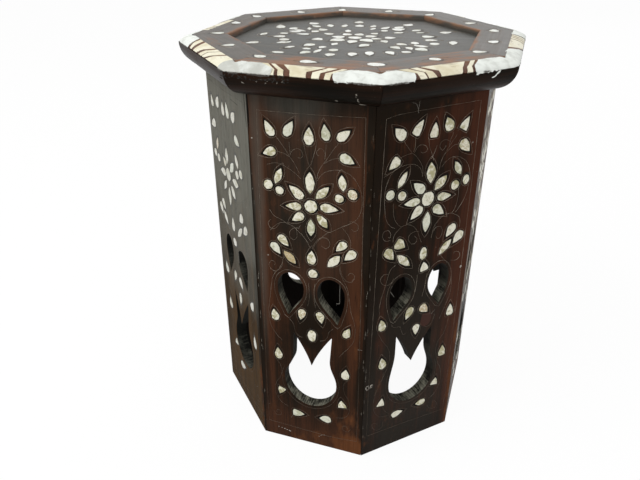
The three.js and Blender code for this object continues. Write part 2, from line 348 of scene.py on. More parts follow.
def wood(name, dark, light, worn, gloss, shine, spots=()):
    """Broad bands mix dark and light, pores darken them, and the wear attribute adds the worn colour where a
    patchy noise lets it through. Spots make places darker, redder, worn or grey: the grey is partly a bloom
    in the wax and partly a painted sheen."""
    recipe = Recipe(name)
    grain = recipe.place("grain")
    wear = recipe.number("wear")
    bands = recipe.noise(recipe.stretch(grain, 1, 1, 0.04), 85, 4, 0.6, 0.6)
    streaks = recipe.noise(recipe.stretch(grain, 1, 1, 0.03), 420, 3, 0.6, 0.3)
    pores = recipe.noise(recipe.stretch(grain, 1, 1, 0.022), 1500, 2, 0.6)
    clouds = recipe.noise(grain, 16, 3, 0.55)
    patches = recipe.noise(recipe.stretch(grain, 1, 1, 0.35), 120, 4, 0.65)
    tone = bands * 0.9 + streaks * 0.35 + clouds * 0.35 + recipe.number("warmth") * 0.35
    tone, wear, bloom_and_sheen = spotted(recipe, spots, clouds, tone, wear)
    colour = recipe.mix(recipe.step(tone, 0.62, 1.3), dark, light)
    pore_dark = recipe.step(pores, 0.56, 0.72) * 0.6
    colour = recipe.mix(pore_dark, colour, tuple(part * DRY_SHARE for part in dark))
    rubbed = recipe.step(wear + patches * 0.9 - 0.45, 0.42, 0.78)
    colour = recipe.mix(rubbed, colour, recipe.mix(streaks, worn, tuple(part * 0.45 for part in worn)))
    if bloom_and_sheen is not None:
        # Grey spots: partly a bloom in the wax, partly a painted sheen.
        colour = recipe.mix(bloom_and_sheen * (0.45 + 0.7 * streaks), colour, BLOOM_AND_SHEEN_GREY)
    specks = recipe.step(recipe.noise(grain, 560, 1, 0.5), 0.76, 0.8)
    colour = recipe.mix(specks * recipe.step(clouds + patches, 0.9, 1.2) * 0.8, colour, SPECK_GREY)
    rough = gloss + 0.22 * streaks + 0.18 * rubbed + 0.12 * clouds - 0.2
    surface = streaks * 0.5 - recipe.step(pores, 0.5, 0.7) * 0.7
    normal = recipe.bump(surface, PORE_DEPTH, 0.6)
    normal = recipe.bump(clouds + bands * 0.5, WARP_DEPTH, 0.35, normal)
    return recipe.finish(colour, rough, normal, Specular_IOR_Level=shine)


print("one recipe for stained wood:", wood.__name__)

# %% [markdown]
# ## The stained boards
# No two sides have aged alike. The front has gone orange at its right edge and its foot, and the side to its
# right is nearly black at the corner and red at its far edge. The left side is painted grey on its upper
# half: a painted sheen of bright surroundings seen at a grazing angle, together with a bloom in the wax. The
# grey spots on the front and the right side are partly painted sheen too. Thin dark strips along the tops of
# the front and right boards are painted shade under the moulding. Each row is a spot: its kind, its middle
# and its reach as shares of the board's width and visible height, and its strength.
# %% Stained woods
# Grey of the bloom spots: partly a painted sheen.
BLOOM_AND_SHEEN_GREY = (0.165, 0.163, 0.138)
SPECK_GREY = (0.30, 0.27, 0.23)
PANEL_DARK = (0.0098, 0.0052, 0.0020)
PANEL_LIGHT = (0.058, 0.0210, 0.0088)
LEFT_DARK = (0.0112, 0.0068, 0.0020)
LEFT_LIGHT = (0.072, 0.037, 0.0115)
RIGHT_LIGHT = (0.062, 0.0190, 0.0085)
PANEL_WORN = (0.15, 0.054, 0.019)
FRONT_SPOT_SHARES = (
    ("warm", 0.38, 0.55, 0.07, 0.40, 0.35), ("worn", 0.36, 0.08, 0.22, 0.13, 0.20),
    ("worn", 0.20, 0.02, 0.60, 0.060, 0.24), ("warm", -0.385, 0.50, 0.05, 0.60, 0.34),
    ("dark", 0.00, 0.43, 0.25, 0.10, 0.35), ("dark", -0.15, 0.78, 0.30, 0.20, 0.22),
    # The second dark row here, at up 1.00, is a painted shade under the moulding.
    ("dark", 0.49, 0.18, 0.030, 0.35, 0.90), ("dark", 0.00, 1.00, 0.70, 0.05, 0.35),
    ("dark", 0.485, 0.82, 0.055, 0.36, 1.20), ("dark", -0.12, 0.65, 0.24, 0.11, 0.28),
    ("worn", 0.42, 0.45, 0.035, 0.20, 0.16), ("dark", -0.10, 0.20, 0.90, 0.26, 0.22),
    ("bloom_and_sheen", -0.15, 1.00, 0.42, 0.075, 0.23), ("bloom_and_sheen", 0.00, 0.85, 0.60, 0.42, 0.075),
    ("bloom_and_sheen", -0.435, 0.85, 0.065, 0.60, 0.25), ("dark", -0.50, 0.42, 0.040, 0.55, 1.00),
    ("warm", 0.00, 0.04, 0.90, 0.12, 0.14),
)
RIGHT_SPOT_SHARES = (
    ("dark", -0.50, 0.50, 0.14, 0.90, 0.60), ("dark", -0.15, 0.60, 0.35, 0.50, 0.18),
    ("warm", 0.44, 0.60, 0.14, 0.60, 0.35), ("warm", 0.10, 0.92, 0.50, 0.10, 0.15),
    ("worn", 0.49, 0.15, 0.04, 0.35, 0.28), ("dark", 0.00, 0.00, 0.60, 0.09, 0.22),
    # The first dark row here, at up 1.00, is a painted shade under the moulding.
    ("dark", -0.20, 1.00, 0.50, 0.05, 0.35), ("dark", 0.10, 0.80, 0.60, 0.30, 0.12),
    ("dark", -0.05, 0.28, 0.45, 0.34, 0.18), ("bloom_and_sheen", -0.05, 0.28, 0.60, 0.38, 0.055),
)
LEFT_SPOT_SHARES = (
    # The first row paints the upper half grey: a painted sheen of bright surroundings, with a bloom in the
    # wax.
    ("bloom_and_sheen", 0.00, 0.90, 1.40, 0.58, 1.00), ("dark", 0.48, 0.50, 0.06, 0.60, 0.50),
    ("worn", 0.47, 0.12, 0.05, 0.30, 0.22), ("warm", 0.00, 0.20, 0.70, 0.30, 0.16),
)
front_wood = wood("dark_wood_front", PANEL_DARK, PANEL_LIGHT, PANEL_WORN, 0.42, 0.045, FRONT_SPOT_SHARES)
right_wood = wood("dark_wood_right", PANEL_DARK, RIGHT_LIGHT, PANEL_WORN, 0.42, 0.045, RIGHT_SPOT_SHARES)
left_wood = wood("dark_wood_left", LEFT_DARK, LEFT_LIGHT, PANEL_WORN, 0.62, 0.02, LEFT_SPOT_SHARES)
GREY_SIDES = (4, 8)
WOOD_OF_SIDE = {1: front_wood, 2: right_wood, 3: front_wood, 4: left_wood, 5: right_wood, 6: front_wood,
                7: right_wood, 8: left_wood}
top_wood = wood("top_wood", (0.037, 0.034, 0.026), (0.085, 0.060, 0.041), (0.30, 0.140, 0.065),
                0.5, 0.56)
tray_wood = wood("top_wood_tray", (0.028, 0.029, 0.023), (0.058, 0.048, 0.034), (0.30, 0.14, 0.06),
                 0.5, 0.42)
moulding_wood = wood("moulding_wood", (0.0045, 0.0035, 0.002), (0.024, 0.010, 0.005), (0.10, 0.045, 0.028),
                     0.4, 0.04)
print("stained woods:", front_wood.name, right_wood.name, left_wood.name, top_wood.name)


# %% [markdown]
# ## Sawn and raw wood
# The walls of the fretwork were left from the saw and scored by the blade along the thickness of the board.
# Where a wall faces up it is painted pale grey, a painted light from above together with dust. Where it
# faces down it is painted dark as shade, and on the grey left side the walls are a darker copy, painted
# shade.
# The inside of the body was never stained.
# %% Sawn walls and the inside
# Walls that face up are painted light, partly a painted light from above and partly dust; the others keep a
# small share of it, a painted shade.
LIT_AND_DUSTY_SLOPES = (0.05, 0.45)
SHADED_WALL_SHARE = 0.12
SCORE_DEPTH = 0.0003
FIBRE_DEPTH = 0.0002
SAW_SCALE = 760


def sawn_wood(name, dark, light):
    """Score marks are noise that is stretched along the grain attribute's second part, which runs through
    the board. Where the slope attribute says that a wall faces up, it is painted lighter, a painted light
    from above together with dust; other walls keep only a small share of the light colour, a painted shade."""
    recipe = Recipe(name)
    grain = recipe.place("grain")
    scores = recipe.noise(recipe.stretch(grain, 1, 0.06, 1), SAW_SCALE, 3, 0.6)
    clouds = recipe.noise(grain, 60, 3, 0.5)
    dust = recipe.noise(grain, 330, 3, 0.65)
    share = recipe.step(scores * 0.4 + clouds * 0.45 + dust * 0.25, 0.44, 0.70)
    lit_and_dusty = recipe.step(recipe.number("slope"), *LIT_AND_DUSTY_SLOPES)
    # Painted light on walls that face up, painted shade on the others.
    colour = recipe.mix(share * (SHADED_WALL_SHARE + (1 - SHADED_WALL_SHARE) * lit_and_dusty), dark, light)
    normal = recipe.bump(scores, SCORE_DEPTH, 0.6)
    return recipe.finish(colour, 0.7 + 0.2 * clouds, normal, Specular_IOR_Level=0.1)


def raw_wood(name):
    """Brown bands along the upright grain, on Object coordinates, with pale fibres."""
    recipe = Recipe(name)
    place = recipe.place()
    bands = recipe.noise(recipe.stretch(place, 1, 1, 0.06), 160, 4, 0.6, 0.4)
    fibres = recipe.noise(recipe.stretch(place, 1, 1, 0.03), 1100, 2, 0.5)
    colour = recipe.mix(bands, (0.003, 0.0021, 0.0015), (0.011, 0.007, 0.0045))
    colour = recipe.mix(recipe.step(fibres, 0.5, 0.75) * 0.5, colour, (0.018, 0.012, 0.008))
    normal = recipe.bump(fibres + bands, FIBRE_DEPTH, 0.6)
    return recipe.finish(colour, 0.75 + 0.15 * bands, normal, Specular_IOR_Level=0.08)


# The second sawn finish, for the grey sides, is a darker copy: painted shade on their walls.
sawn_wall = sawn_wood("sawn_wall", (0.007, 0.006, 0.005), (0.32, 0.31, 0.24))
shaded_wall = sawn_wood("shaded_wall", (0.006, 0.006, 0.005), (0.085, 0.085, 0.068))
inner_wood = raw_wood("inner_wood")
print("bare woods:", sawn_wall.name, shaded_wall.name, inner_wood.name)


# %% [markdown]
# ## The side panels
# Each side is one board with two drops and a tulip sawn through it. The CAD mesh has the exact
# shape, so the piece is a copy of it: the loose triangles are merged, the arrises are rounded as
# hands have rounded them, and each face gets the finish of its place.
# %% A panel from its CAD node
ARRIS_WIDTH = 0.0009
MERGE_DISTANCE = 0.00001
FLAT_DEGREES = 0.4
ARRIS_DEGREES = 50
ARRIS_WEAR_SHARE = 0.35
SIDEWAYS_SHARE = 0.5
GRAIN_STEP = np.array([0.3, 0, 0.7])
PANEL_WARMTH_SHARES = [0.62, 0.3, 0.4, 0.5, 0.35, 0.6, 0.45, 0.3]


def merged_copy(node):
    """A copy of a CAD node's mesh with its doubles merged and its flat faces made whole."""
    mesh = bpy.data.meshes.new(node)
    work = bmesh.new()
    work.from_mesh(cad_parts[node].data)
    bmesh.ops.remove_doubles(work, verts=work.verts, dist=MERGE_DISTANCE)
    bmesh.ops.dissolve_limit(work, verts=work.verts, edges=work.edges,
                             angle_limit=math.radians(FLAT_DEGREES))
    work.to_mesh(mesh)
    work.free()
    return mesh


def rounded(mesh, width, arris_slot):
    """The mesh with every sharp edge rounded, its new faces on their own slot."""
    holder = add_object(mesh.name, mesh)
    bevel = holder.modifiers.new("arris", "BEVEL")
    bevel.width = width
    bevel.segments = 2
    bevel.limit_method = "ANGLE"
    bevel.angle_limit = math.radians(ARRIS_DEGREES)
    bevel.material = arris_slot
    bevel.harden_normals = True
    bevel.miter_outer = "MITER_ARC"
    seen = holder.evaluated_get(bpy.context.evaluated_depsgraph_get())
    made = bpy.data.meshes.new_from_object(seen)
    bpy.data.objects.remove(holder)
    return made


def mesh_points(mesh):
    """The mesh's points as an array."""
    points = np.empty(len(mesh.vertices) * 3, dtype=np.float32)
    mesh.vertices.foreach_get("co", points)
    return points.reshape(-1, 3).astype(float)


def of_faces(mesh, label, width, kind=np.float32):
    """One property of all the faces as an array."""
    values = np.empty(len(mesh.polygons) * width, dtype=kind)
    mesh.polygons.foreach_get(label, values)
    return values.reshape(-1, width)


def carried_to_points(mesh, values, chosen):
    """One number of each chosen face, given to the points of that face."""
    point_of_loop = np.empty(len(mesh.loops), dtype=np.int32)
    mesh.loops.foreach_get("vertex_index", point_of_loop)
    sizes = of_faces(mesh, "loop_total", 1, np.int32).ravel()
    picked = np.repeat(chosen, sizes)
    carried = np.zeros(len(mesh.vertices))
    carried[point_of_loop[picked]] = np.repeat(values, sizes)[picked]
    return carried


def panel_slots(number, mesh):
    """The arris faces keep slot 1, and the others get the outer face, the walls or the back."""
    slots = of_faces(mesh, "material_index", 1, np.int32).ravel()
    outward = from_side(number, of_faces(mesh, "normal", 3))[:, 1]
    centre = from_side(number, of_faces(mesh, "center", 3))
    plain = slots != 1
    at_edge = np.abs(centre[:, 0]) > half_side(inner_apothem) - ARRIS_WIDTH
    at_end = (centre[:, 2] < ARRIS_WIDTH) | (centre[:, 2] > panel_high.z - ARRIS_WIDTH)
    sideways = np.abs(outward) < SIDEWAYS_SHARE
    slots[plain & sideways & ~at_edge & ~at_end] = 2
    slots[plain & (outward < -SIDEWAYS_SHARE)] = 3
    slots[plain & sideways & (at_edge | at_end)] = 3
    return slots


def panel_piece(number):
    """A side board: outer face, worn arrises, sawn walls and raw back, each on its own slot."""
    node = f"side_panel_{number}"
    mesh = merged_copy(node)
    # The grey sides get the darker sawn finish: painted shade on their walls.
    walls = shaded_wall if number in GREY_SIDES else sawn_wall
    for finish in (WOOD_OF_SIDE[number], WOOD_OF_SIDE[number], walls, inner_wood):
        mesh.materials.append(finish)
    mesh = rounded(mesh, ARRIS_WIDTH, 1)
    mesh.name = f"side_board_{number}"
    local = from_side(number, mesh_points(mesh))
    set_values(mesh, "grain", local + number * GRAIN_STEP)
    set_values(mesh, "board", local / (panel_width, 1, visible_height))
    set_values(mesh, "warmth", np.full(len(local), PANEL_WARMTH_SHARES[number - 1]))
    slots = panel_slots(number, mesh)
    mesh.polygons.foreach_set("material_index", slots)
    set_values(mesh, "wear", carried_to_points(mesh, np.full(len(slots), ARRIS_WEAR_SHARE), slots == 1))
    set_values(mesh, "slope", carried_to_points(mesh, of_faces(mesh, "normal", 3)[:, 2], slots == 2))
    piece = add_object(mesh.name, mesh)
    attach(piece, "root")
    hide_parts(node)
    return piece


panels = [panel_piece(number) for number in SIDE_NUMBERS]
print("side boards:", len(panels), "with", sum(len(panel.data.polygons) for panel in panels), "faces")


# %% [markdown]
# ## Pearl: the cut shapes
# The pearl is sawn from shell and filed by hand, so each piece has a dozen straight cuts instead
# of a smooth outline. One formula gives discs, drops and leaves: an ellipse whose width is
# multiplied by a power of the half-angle's sine, which pinches it to a point.
# %% Outlines of the pearl pieces
CUTS_PER_PEARL = 12
PEARL_RISE = 0.00016
PEARL_DOME = 0.00022
INLAY_DEPTH = 0.0006
SHOULDER_SHARE = 0.78
TIP_TAIL_AND_CUT_OF_SHAPE = {"disc": (0, 0, 1), "drop": (1, 0, 1), "leaf": (1, 1, 1), "wedge": (1, 0, 0.4),
                             "stub": (1, 0, 0.72), "plug": (0, 0, 0.6)}


def cut_outlines(shapes, corners, roughness, dice):
    """Unit outlines, an array of piece, corner and (along, across). Along is the cosine of a turn,
    across its sine times powers of the half turn's sine (tip) and cosine (tail), brought to 1."""
    tip, tail, cut = np.array([TIP_TAIL_AND_CUT_OF_SHAPE[shape] for shape in shapes]).T[:, :, None]
    spread = dice.uniform(-roughness, roughness, (len(shapes), corners))
    spread[:, 0] = 0
    spread[:, corners // 2] *= tail[:, 0] < 1
    turn = 2 * np.pi * (np.arange(corners) + spread) / corners
    across = np.sin(turn) * np.abs(np.sin(turn / 2)) ** tip * np.abs(np.cos(turn / 2)) ** tail
    across *= 1 + dice.uniform(-roughness, roughness, across.shape) * 0.25
    across /= np.abs(across).max(axis=1, keepdims=True)
    along = (np.maximum(np.cos(turn), -cut) - (1 - cut) / 2) / ((1 + cut) / 2)
    return np.stack([along, across], axis=-1)


def lay_out(outlines, centres, lengths, widths, degrees, margin=0, tip_margin=0):
    """Scales unit outlines to length and width plus a margin all round, pushes them towards the
    tip, turns them by their angle and moves them to their centres."""
    along = outlines[..., 0] * (lengths / 2 + margin + tip_margin / 2)[:, None] + tip_margin / 2
    across = outlines[..., 1] * (widths / 2 + margin)[:, None]
    cosine, sine = np.cos(np.radians(degrees))[:, None], np.sin(np.radians(degrees))[:, None]
    turned = np.stack([along * cosine - across * sine, along * sine + across * cosine], axis=-1)
    return centres[:, None, :] + turned


def inlay_solids(outlines, place, rise, dome):
    """A skirt, a filed shoulder and a crown for every outline: rings of the outline drawn in
    towards its middle, at rising levels, with one point on top."""
    pieces, corners = outlines.shape[:2]
    middle = outlines.mean(axis=1, keepdims=True)
    rings = [place(*np.moveaxis(middle + (outlines - middle) * share, -1, 0), level)
             for share, level in ((1, -INLAY_DEPTH), (1, rise), (SHOULDER_SHARE, rise + dome))]
    top = place(*np.moveaxis(middle, -1, 0), rise + dome)
    points = np.concatenate([*rings, top], axis=1)
    corner = np.arange(corners)
    crown = np.stack([2 * corners + corner, 2 * corners + (corner + 1) % corners,
                      np.full(corners, 3 * corners)], axis=-1)
    start = np.arange(pieces)[:, None, None] * (3 * corners + 1)
    groups = [grid_faces(3, corners, True), crown, corner[None, :]]
    return points.reshape(-1, 3), [(group + start).reshape(-1, group.shape[1]) for group in groups]


print("corners on a pearl piece:", CUTS_PER_PEARL)

# %% [markdown]
# ## Pearl and mastic finishes
# Old river shell is cream with a greenish cast, and some pieces were cut through the brown growth
# lines of the shell. The black mastic around each piece is shellac and soot.
# %% Pearl, mastic and wire
TARNISH_BROWN = (0.055, 0.036, 0.024)
TARNISH_HEIGHTS = (0.17, 0.29)
SHELL_DEPTH = 0.00025
MASTIC_DEPTH = 0.0002


def pearl_finish(name, olive, pale):
    """Pale, olive and greenish clouds that differ from piece to piece by the shade attribute,
    with brown growth lines, most of all where the tone attribute asks for them."""
    recipe = Recipe(name)
    chip = recipe.place("chip")
    tone = recipe.number("tone")
    shade = recipe.place("shade")
    clouds = recipe.noise(chip, 190, 3, 0.6, 0.6)
    layers = recipe.noise(recipe.stretch(chip, 1, 0.2, 1), 480, 2, 0.5, 1.6)
    patch = recipe.step(clouds + recipe.part(shade, 0) * 0.16, 0.42, 0.645)
    colour = recipe.mix(patch, olive, pale)
    colour = recipe.mix(recipe.step(recipe.part(shade, 1), 0.7, 0.95) * 0.35, colour, (0.55, 0.61, 0.50))
    colour = recipe.mix(recipe.step(layers, 0.52, 0.60) * 0.35, colour, (0.50, 0.44, 0.26))
    brown = recipe.step(layers * 0.5 + clouds * 0.3 + tone * 0.22, 0.52, 0.62)
    colour = recipe.mix(brown * 0.75, colour, (0.40, 0.27, 0.09))
    rim = recipe.step(1 - recipe.number("crown"), 0.55, 1) * 0.35
    colour = recipe.mix(rim, colour, (0.26, 0.23, 0.14))
    normal = recipe.bump(layers + clouds, SHELL_DEPTH, 0.5)
    return recipe.finish(colour, 0.22 + 0.2 * clouds, normal, Coat_Weight=0.2, Coat_Roughness=0.15)


def mastic_finish(name, dark, dusty, shine):
    """Near-black with a little grey dust."""
    recipe = Recipe(name)
    grains = recipe.noise(recipe.place(), 900, 2, 0.6)
    colour = recipe.mix(recipe.step(grains, 0.5, 0.8), dark, dusty)
    normal = recipe.bump(grains, MASTIC_DEPTH, 0.7)
    return recipe.finish(colour, 0.45 + 0.3 * grains, normal, Specular_IOR_Level=shine)


def wire_finish(name, dull, bright):
    """Tarnished tin: dull grey-brown, brighter where it has been rubbed, and browner towards the
    foot, where it has hardly been touched."""
    recipe = Recipe(name)
    rubbed = recipe.noise(recipe.place(), 90, 3, 0.6)
    share = recipe.step(rubbed, 0.42, 0.68)
    foot = 1 - recipe.step(recipe.part(recipe.place(), 2) + rubbed * 0.08, *TARNISH_HEIGHTS)
    colour = recipe.mix(share, dull, bright)
    colour = recipe.mix(foot * 0.72, colour, TARNISH_BROWN)
    return recipe.finish(colour, 0.6 - 0.15 * share, None, Specular_IOR_Level=0.3)


pearl = pearl_finish("pearl", (0.38, 0.35, 0.175), (0.80, 0.775, 0.64))
top_pearl = pearl_finish("top_pearl", (0.54, 0.55, 0.47), (0.80, 0.82, 0.78))
left_pearl = pearl_finish("left_pearl", (0.36, 0.35, 0.26), (0.60, 0.59, 0.52))
mastic = mastic_finish("mastic", (0.004, 0.003, 0.002), (0.020, 0.015, 0.011), 0.05)
# A lighter grey and glossier mastic for the top and the grey sides: its grey is partly a painted sheen.
sheen_grey_mastic = mastic_finish("sheen_grey_mastic", (0.02, 0.018, 0.015), (0.06, 0.055, 0.048), 0.55)
wire = wire_finish("wire", (0.23, 0.185, 0.14), (0.52, 0.45, 0.36))
dusty_wire = wire_finish("dusty_wire", (0.11, 0.105, 0.09), (0.20, 0.19, 0.165))
print("inlay finishes:", pearl.name, mastic.name, wire.name)

# %% [markdown]
# ## Where the pearl lies on a side
# A flower over a pair of drops, a tulip and a border of single pieces. Each row gives a shape, its
# middle as shares of the panel's width and of its visible height, its length and width as shares
# of the panel's width, the way its tip points in degrees, and how brown it is.
# %% Tables of the pearl on the sides
FRONT_PEARL_SHARES = [
    ("drop", -0.325, 0.927, 0.134, 0.074, 118), ("drop", -0.165, 0.931, 0.138, 0.075, 62),
    ("drop", -0.006, 0.919, 0.140, 0.080, 88), ("drop", 0.123, 0.931, 0.127, 0.075, 98),
    ("drop", 0.265, 0.929, 0.127, 0.075, 41), ("drop", -0.330, 0.873, 0.113, 0.078, 202),
    ("drop", 0.295, 0.876, 0.122, 0.078, 336), ("leaf", -0.263, 0.817, 0.146, 0.062, 69),
    ("disc", -0.350, 0.793, 0.078, 0.080, 0), ("disc", -0.255, 0.782, 0.068, 0.075, 60),
    ("leaf", 0.262, 0.820, 0.133, 0.066, 96), ("disc", 0.343, 0.796, 0.075, 0.087, 20, 0.7),
    ("disc", 0.238, 0.782, 0.072, 0.070, 0), ("disc", 0.006, 0.753, 0.106, 0.115, 0),
    ("leaf", 0.000, 0.8105, 0.181, 0.078, 91), ("leaf", 0.100, 0.790, 0.155, 0.072, 46),
    ("drop", 0.158, 0.754, 0.150, 0.077, 358), ("leaf", 0.100, 0.719, 0.134, 0.080, -51),
    ("leaf", 0.005, 0.698, 0.153, 0.068, 270), ("drop", -0.105, 0.720, 0.120, 0.075, 215),
    ("drop", -0.140, 0.747, 0.135, 0.073, 184), ("drop", -0.115, 0.784, 0.150, 0.085, 140, 0.5),
    ("drop", -0.235, 0.652, 0.122, 0.078, -46, 0.3), ("drop", -0.305, 0.628, 0.125, 0.075, -54),
    ("leaf", -0.183, 0.609, 0.150, 0.074, -46, 1.0), ("drop", 0.008, 0.618, 0.132, 0.080, 88),
    ("disc", 0.020, 0.573, 0.082, 0.087, 0), ("drop", 0.260, 0.660, 0.122, 0.075, 228, 0.4),
    ("drop", 0.335, 0.640, 0.130, 0.080, 228), ("leaf", 0.200, 0.618, 0.160, 0.078, 50),
    ("drop", -0.088, 0.446, 0.118, 0.072, 260, 0.8), ("drop", 0.085, 0.447, 0.120, 0.080, 283),
    ("disc", 0.007, 0.385, 0.125, 0.083, 90), ("drop", -0.340, 0.430, 0.120, 0.078, 100),
    ("drop", 0.328, 0.416, 0.120, 0.072, 69), ("drop", -0.322, 0.305, 0.130, 0.077, 94),
    ("drop", 0.323, 0.281, 0.120, 0.075, 85, 0.3), ("wedge", -0.310, 0.174, 0.085, 0.075, 250),
    ("wedge", 0.297, 0.175, 0.085, 0.085, 100), ("stub", -0.135, 0.104, 0.117, 0.087, 2),
    ("drop", 0.135, 0.106, 0.117, 0.087, 184),
]
RIGHT_PEARL_SHARES = [
    ("drop", -0.290, 0.931, 0.127, 0.085, 133), ("stub", -0.125, 0.938, 0.130, 0.078, 57),
    ("stub", 0.020, 0.926, 0.118, 0.080, 87), ("drop", 0.150, 0.934, 0.120, 0.085, 115),
    ("wedge", 0.310, 0.930, 0.110, 0.085, 60), ("stub", -0.325, 0.864, 0.112, 0.085, 222),
    ("drop", 0.330, 0.875, 0.140, 0.085, -48, 0.5), ("leaf", -0.240, 0.823, 0.147, 0.060, 60),
    ("disc", -0.343, 0.792, 0.078, 0.083, 0), ("disc", -0.235, 0.784, 0.075, 0.083, 40),
    ("leaf", 0.283, 0.824, 0.140, 0.062, 120), ("disc", 0.272, 0.782, 0.078, 0.083, 10),
    ("disc", 0.377, 0.790, 0.087, 0.066, 90), ("disc", 0.015, 0.762, 0.117, 0.122, 0),
    ("leaf", 0.022, 0.826, 0.180, 0.090, 94), ("leaf", 0.125, 0.796, 0.150, 0.085, 46, 0.5),
    ("drop", 0.175, 0.759, 0.137, 0.075, -3, 0.4), ("drop", 0.133, 0.726, 0.143, 0.085, -40),
    ("leaf", 0.022, 0.702, 0.187, 0.080, 268), ("drop", -0.085, 0.732, 0.140, 0.088, 222),
    ("drop", -0.135, 0.761, 0.150, 0.072, 180), ("drop", -0.080, 0.795, 0.142, 0.083, 138),
    ("stub", -0.215, 0.657, 0.110, 0.100, -35), ("drop", -0.315, 0.638, 0.137, 0.088, -54, 0.5),
    ("leaf", -0.175, 0.612, 0.188, 0.075, -46, 0.4), ("disc", 0.020, 0.617, 0.120, 0.070, 90),
    ("stub", 0.040, 0.579, 0.090, 0.085, 100), ("drop", 0.278, 0.662, 0.135, 0.088, 235),
    ("drop", 0.365, 0.638, 0.135, 0.090, 230), ("leaf", 0.240, 0.619, 0.170, 0.072, 47),
    ("drop", -0.075, 0.449, 0.132, 0.078, 245), ("drop", 0.085, 0.449, 0.118, 0.085, -48, 0.9),
    ("drop", 0.017, 0.390, 0.120, 0.078, -88), ("drop", -0.347, 0.437, 0.125, 0.080, 102),
    ("stub", 0.378, 0.420, 0.128, 0.078, 92), ("drop", -0.320, 0.312, 0.132, 0.080, 98),
    ("stub", 0.345, 0.287, 0.125, 0.080, 92, 0.3), ("wedge", -0.305, 0.176, 0.090, 0.085, 80),
    ("wedge", 0.300, 0.182, 0.085, 0.080, 80), ("drop", -0.115, 0.112, 0.130, 0.077, 5),
    ("drop", 0.150, 0.120, 0.118, 0.075, 180),
]
LEFT_PEARL_SHARES = [
    ("drop", -0.380, 0.917, 0.110, 0.070, 110), ("drop", -0.230, 0.925, 0.120, 0.085, 60),
    ("drop", -0.095, 0.918, 0.120, 0.075, 92), ("drop", 0.015, 0.922, 0.138, 0.075, 105),
    ("drop", 0.160, 0.919, 0.120, 0.085, 45), ("drop", -0.390, 0.857, 0.130, 0.080, 205),
    ("drop", 0.215, 0.863, 0.125, 0.080, -22), ("leaf", -0.325, 0.808, 0.130, 0.060, 70, 0.8),
    ("disc", -0.400, 0.777, 0.075, 0.075, 0), ("disc", -0.315, 0.770, 0.075, 0.075, 0),
    ("leaf", 0.175, 0.808, 0.125, 0.065, 118), ("disc", 0.260, 0.784, 0.080, 0.080, 0),
    ("disc", 0.165, 0.773, 0.080, 0.080, 0), ("disc", -0.075, 0.748, 0.120, 0.120, 0),
    ("leaf", -0.085, 0.797, 0.160, 0.080, 88), ("leaf", 0.035, 0.778, 0.155, 0.080, 48),
    ("leaf", 0.105, 0.744, 0.150, 0.080, 0), ("leaf", 0.030, 0.710, 0.130, 0.080, -50),
    ("leaf", -0.075, 0.687, 0.180, 0.075, 270), ("leaf", -0.180, 0.708, 0.140, 0.060, 235),
    ("drop", -0.215, 0.742, 0.135, 0.075, 185), ("stub", -0.155, 0.777, 0.090, 0.070, 140, 0.6),
    ("drop", -0.275, 0.641, 0.115, 0.080, -50), ("drop", -0.355, 0.620, 0.120, 0.080, -50),
    ("leaf", -0.245, 0.604, 0.150, 0.070, -45), ("drop", -0.040, 0.610, 0.140, 0.080, 92),
    ("disc", -0.030, 0.557, 0.090, 0.085, 0), ("drop", 0.190, 0.655, 0.120, 0.085, 225),
    ("drop", 0.280, 0.632, 0.135, 0.080, 225), ("leaf", 0.135, 0.609, 0.190, 0.065, 47),
    ("drop", -0.095, 0.440, 0.130, 0.070, 250), ("drop", 0.060, 0.440, 0.120, 0.080, -55),
    ("drop", 0.010, 0.380, 0.140, 0.070, 262), ("drop", -0.345, 0.430, 0.120, 0.090, 110),
    ("drop", 0.340, 0.415, 0.120, 0.080, 60), ("drop", -0.320, 0.310, 0.130, 0.090, 95, 0.7),
    ("drop", 0.350, 0.295, 0.140, 0.070, 95), ("wedge", -0.240, 0.178, 0.090, 0.070, 220),
    ("drop", -0.070, 0.122, 0.140, 0.090, 15),
]
PEARL_OF_SIDE = {
    1: (FRONT_PEARL_SHARES, 1), 2: (RIGHT_PEARL_SHARES, 1), 3: (FRONT_PEARL_SHARES, -1),
    4: (LEFT_PEARL_SHARES, 1), 5: (RIGHT_PEARL_SHARES, -1), 6: (FRONT_PEARL_SHARES, 1),
    7: (FRONT_PEARL_SHARES, -1), 8: (LEFT_PEARL_SHARES, 1),
}
print("pearl pieces on the front:", len(FRONT_PEARL_SHARES))

# %% [markdown]
# ## Setting the pearl
# A recess is cut a little larger than the piece, filled with hot mastic, and the piece is pressed
# in. So each piece is made twice: the mastic bed with a margin, and the pearl a hair above it.
# %% Pearl and mastic on the sides
MASTIC_MARGIN = 0.0009
MASTIC_TIP = 0.0022
FILING_SHARE = 0.34
MASTIC_RISE = 0.00006
PEARL_SHARP_DEGREES = 60


def read_rows(rows, mirror, width, up):
    """Turns a table's rows into arrays in metres. A mirrored table swaps left and right."""
    shapes = [row[0] for row in rows]
    numbers = np.array([row[1:6] for row in rows], dtype=float)
    tones = np.array([row[6] if len(row) > 6 else 0 for row in rows])
    centres = numbers[:, :2] * (mirror * width, up)
    degrees = numbers[:, 4] if mirror > 0 else 180 - numbers[:, 4]
    return shapes, centres, numbers[:, 2] * width, numbers[:, 3] * width, degrees, tones


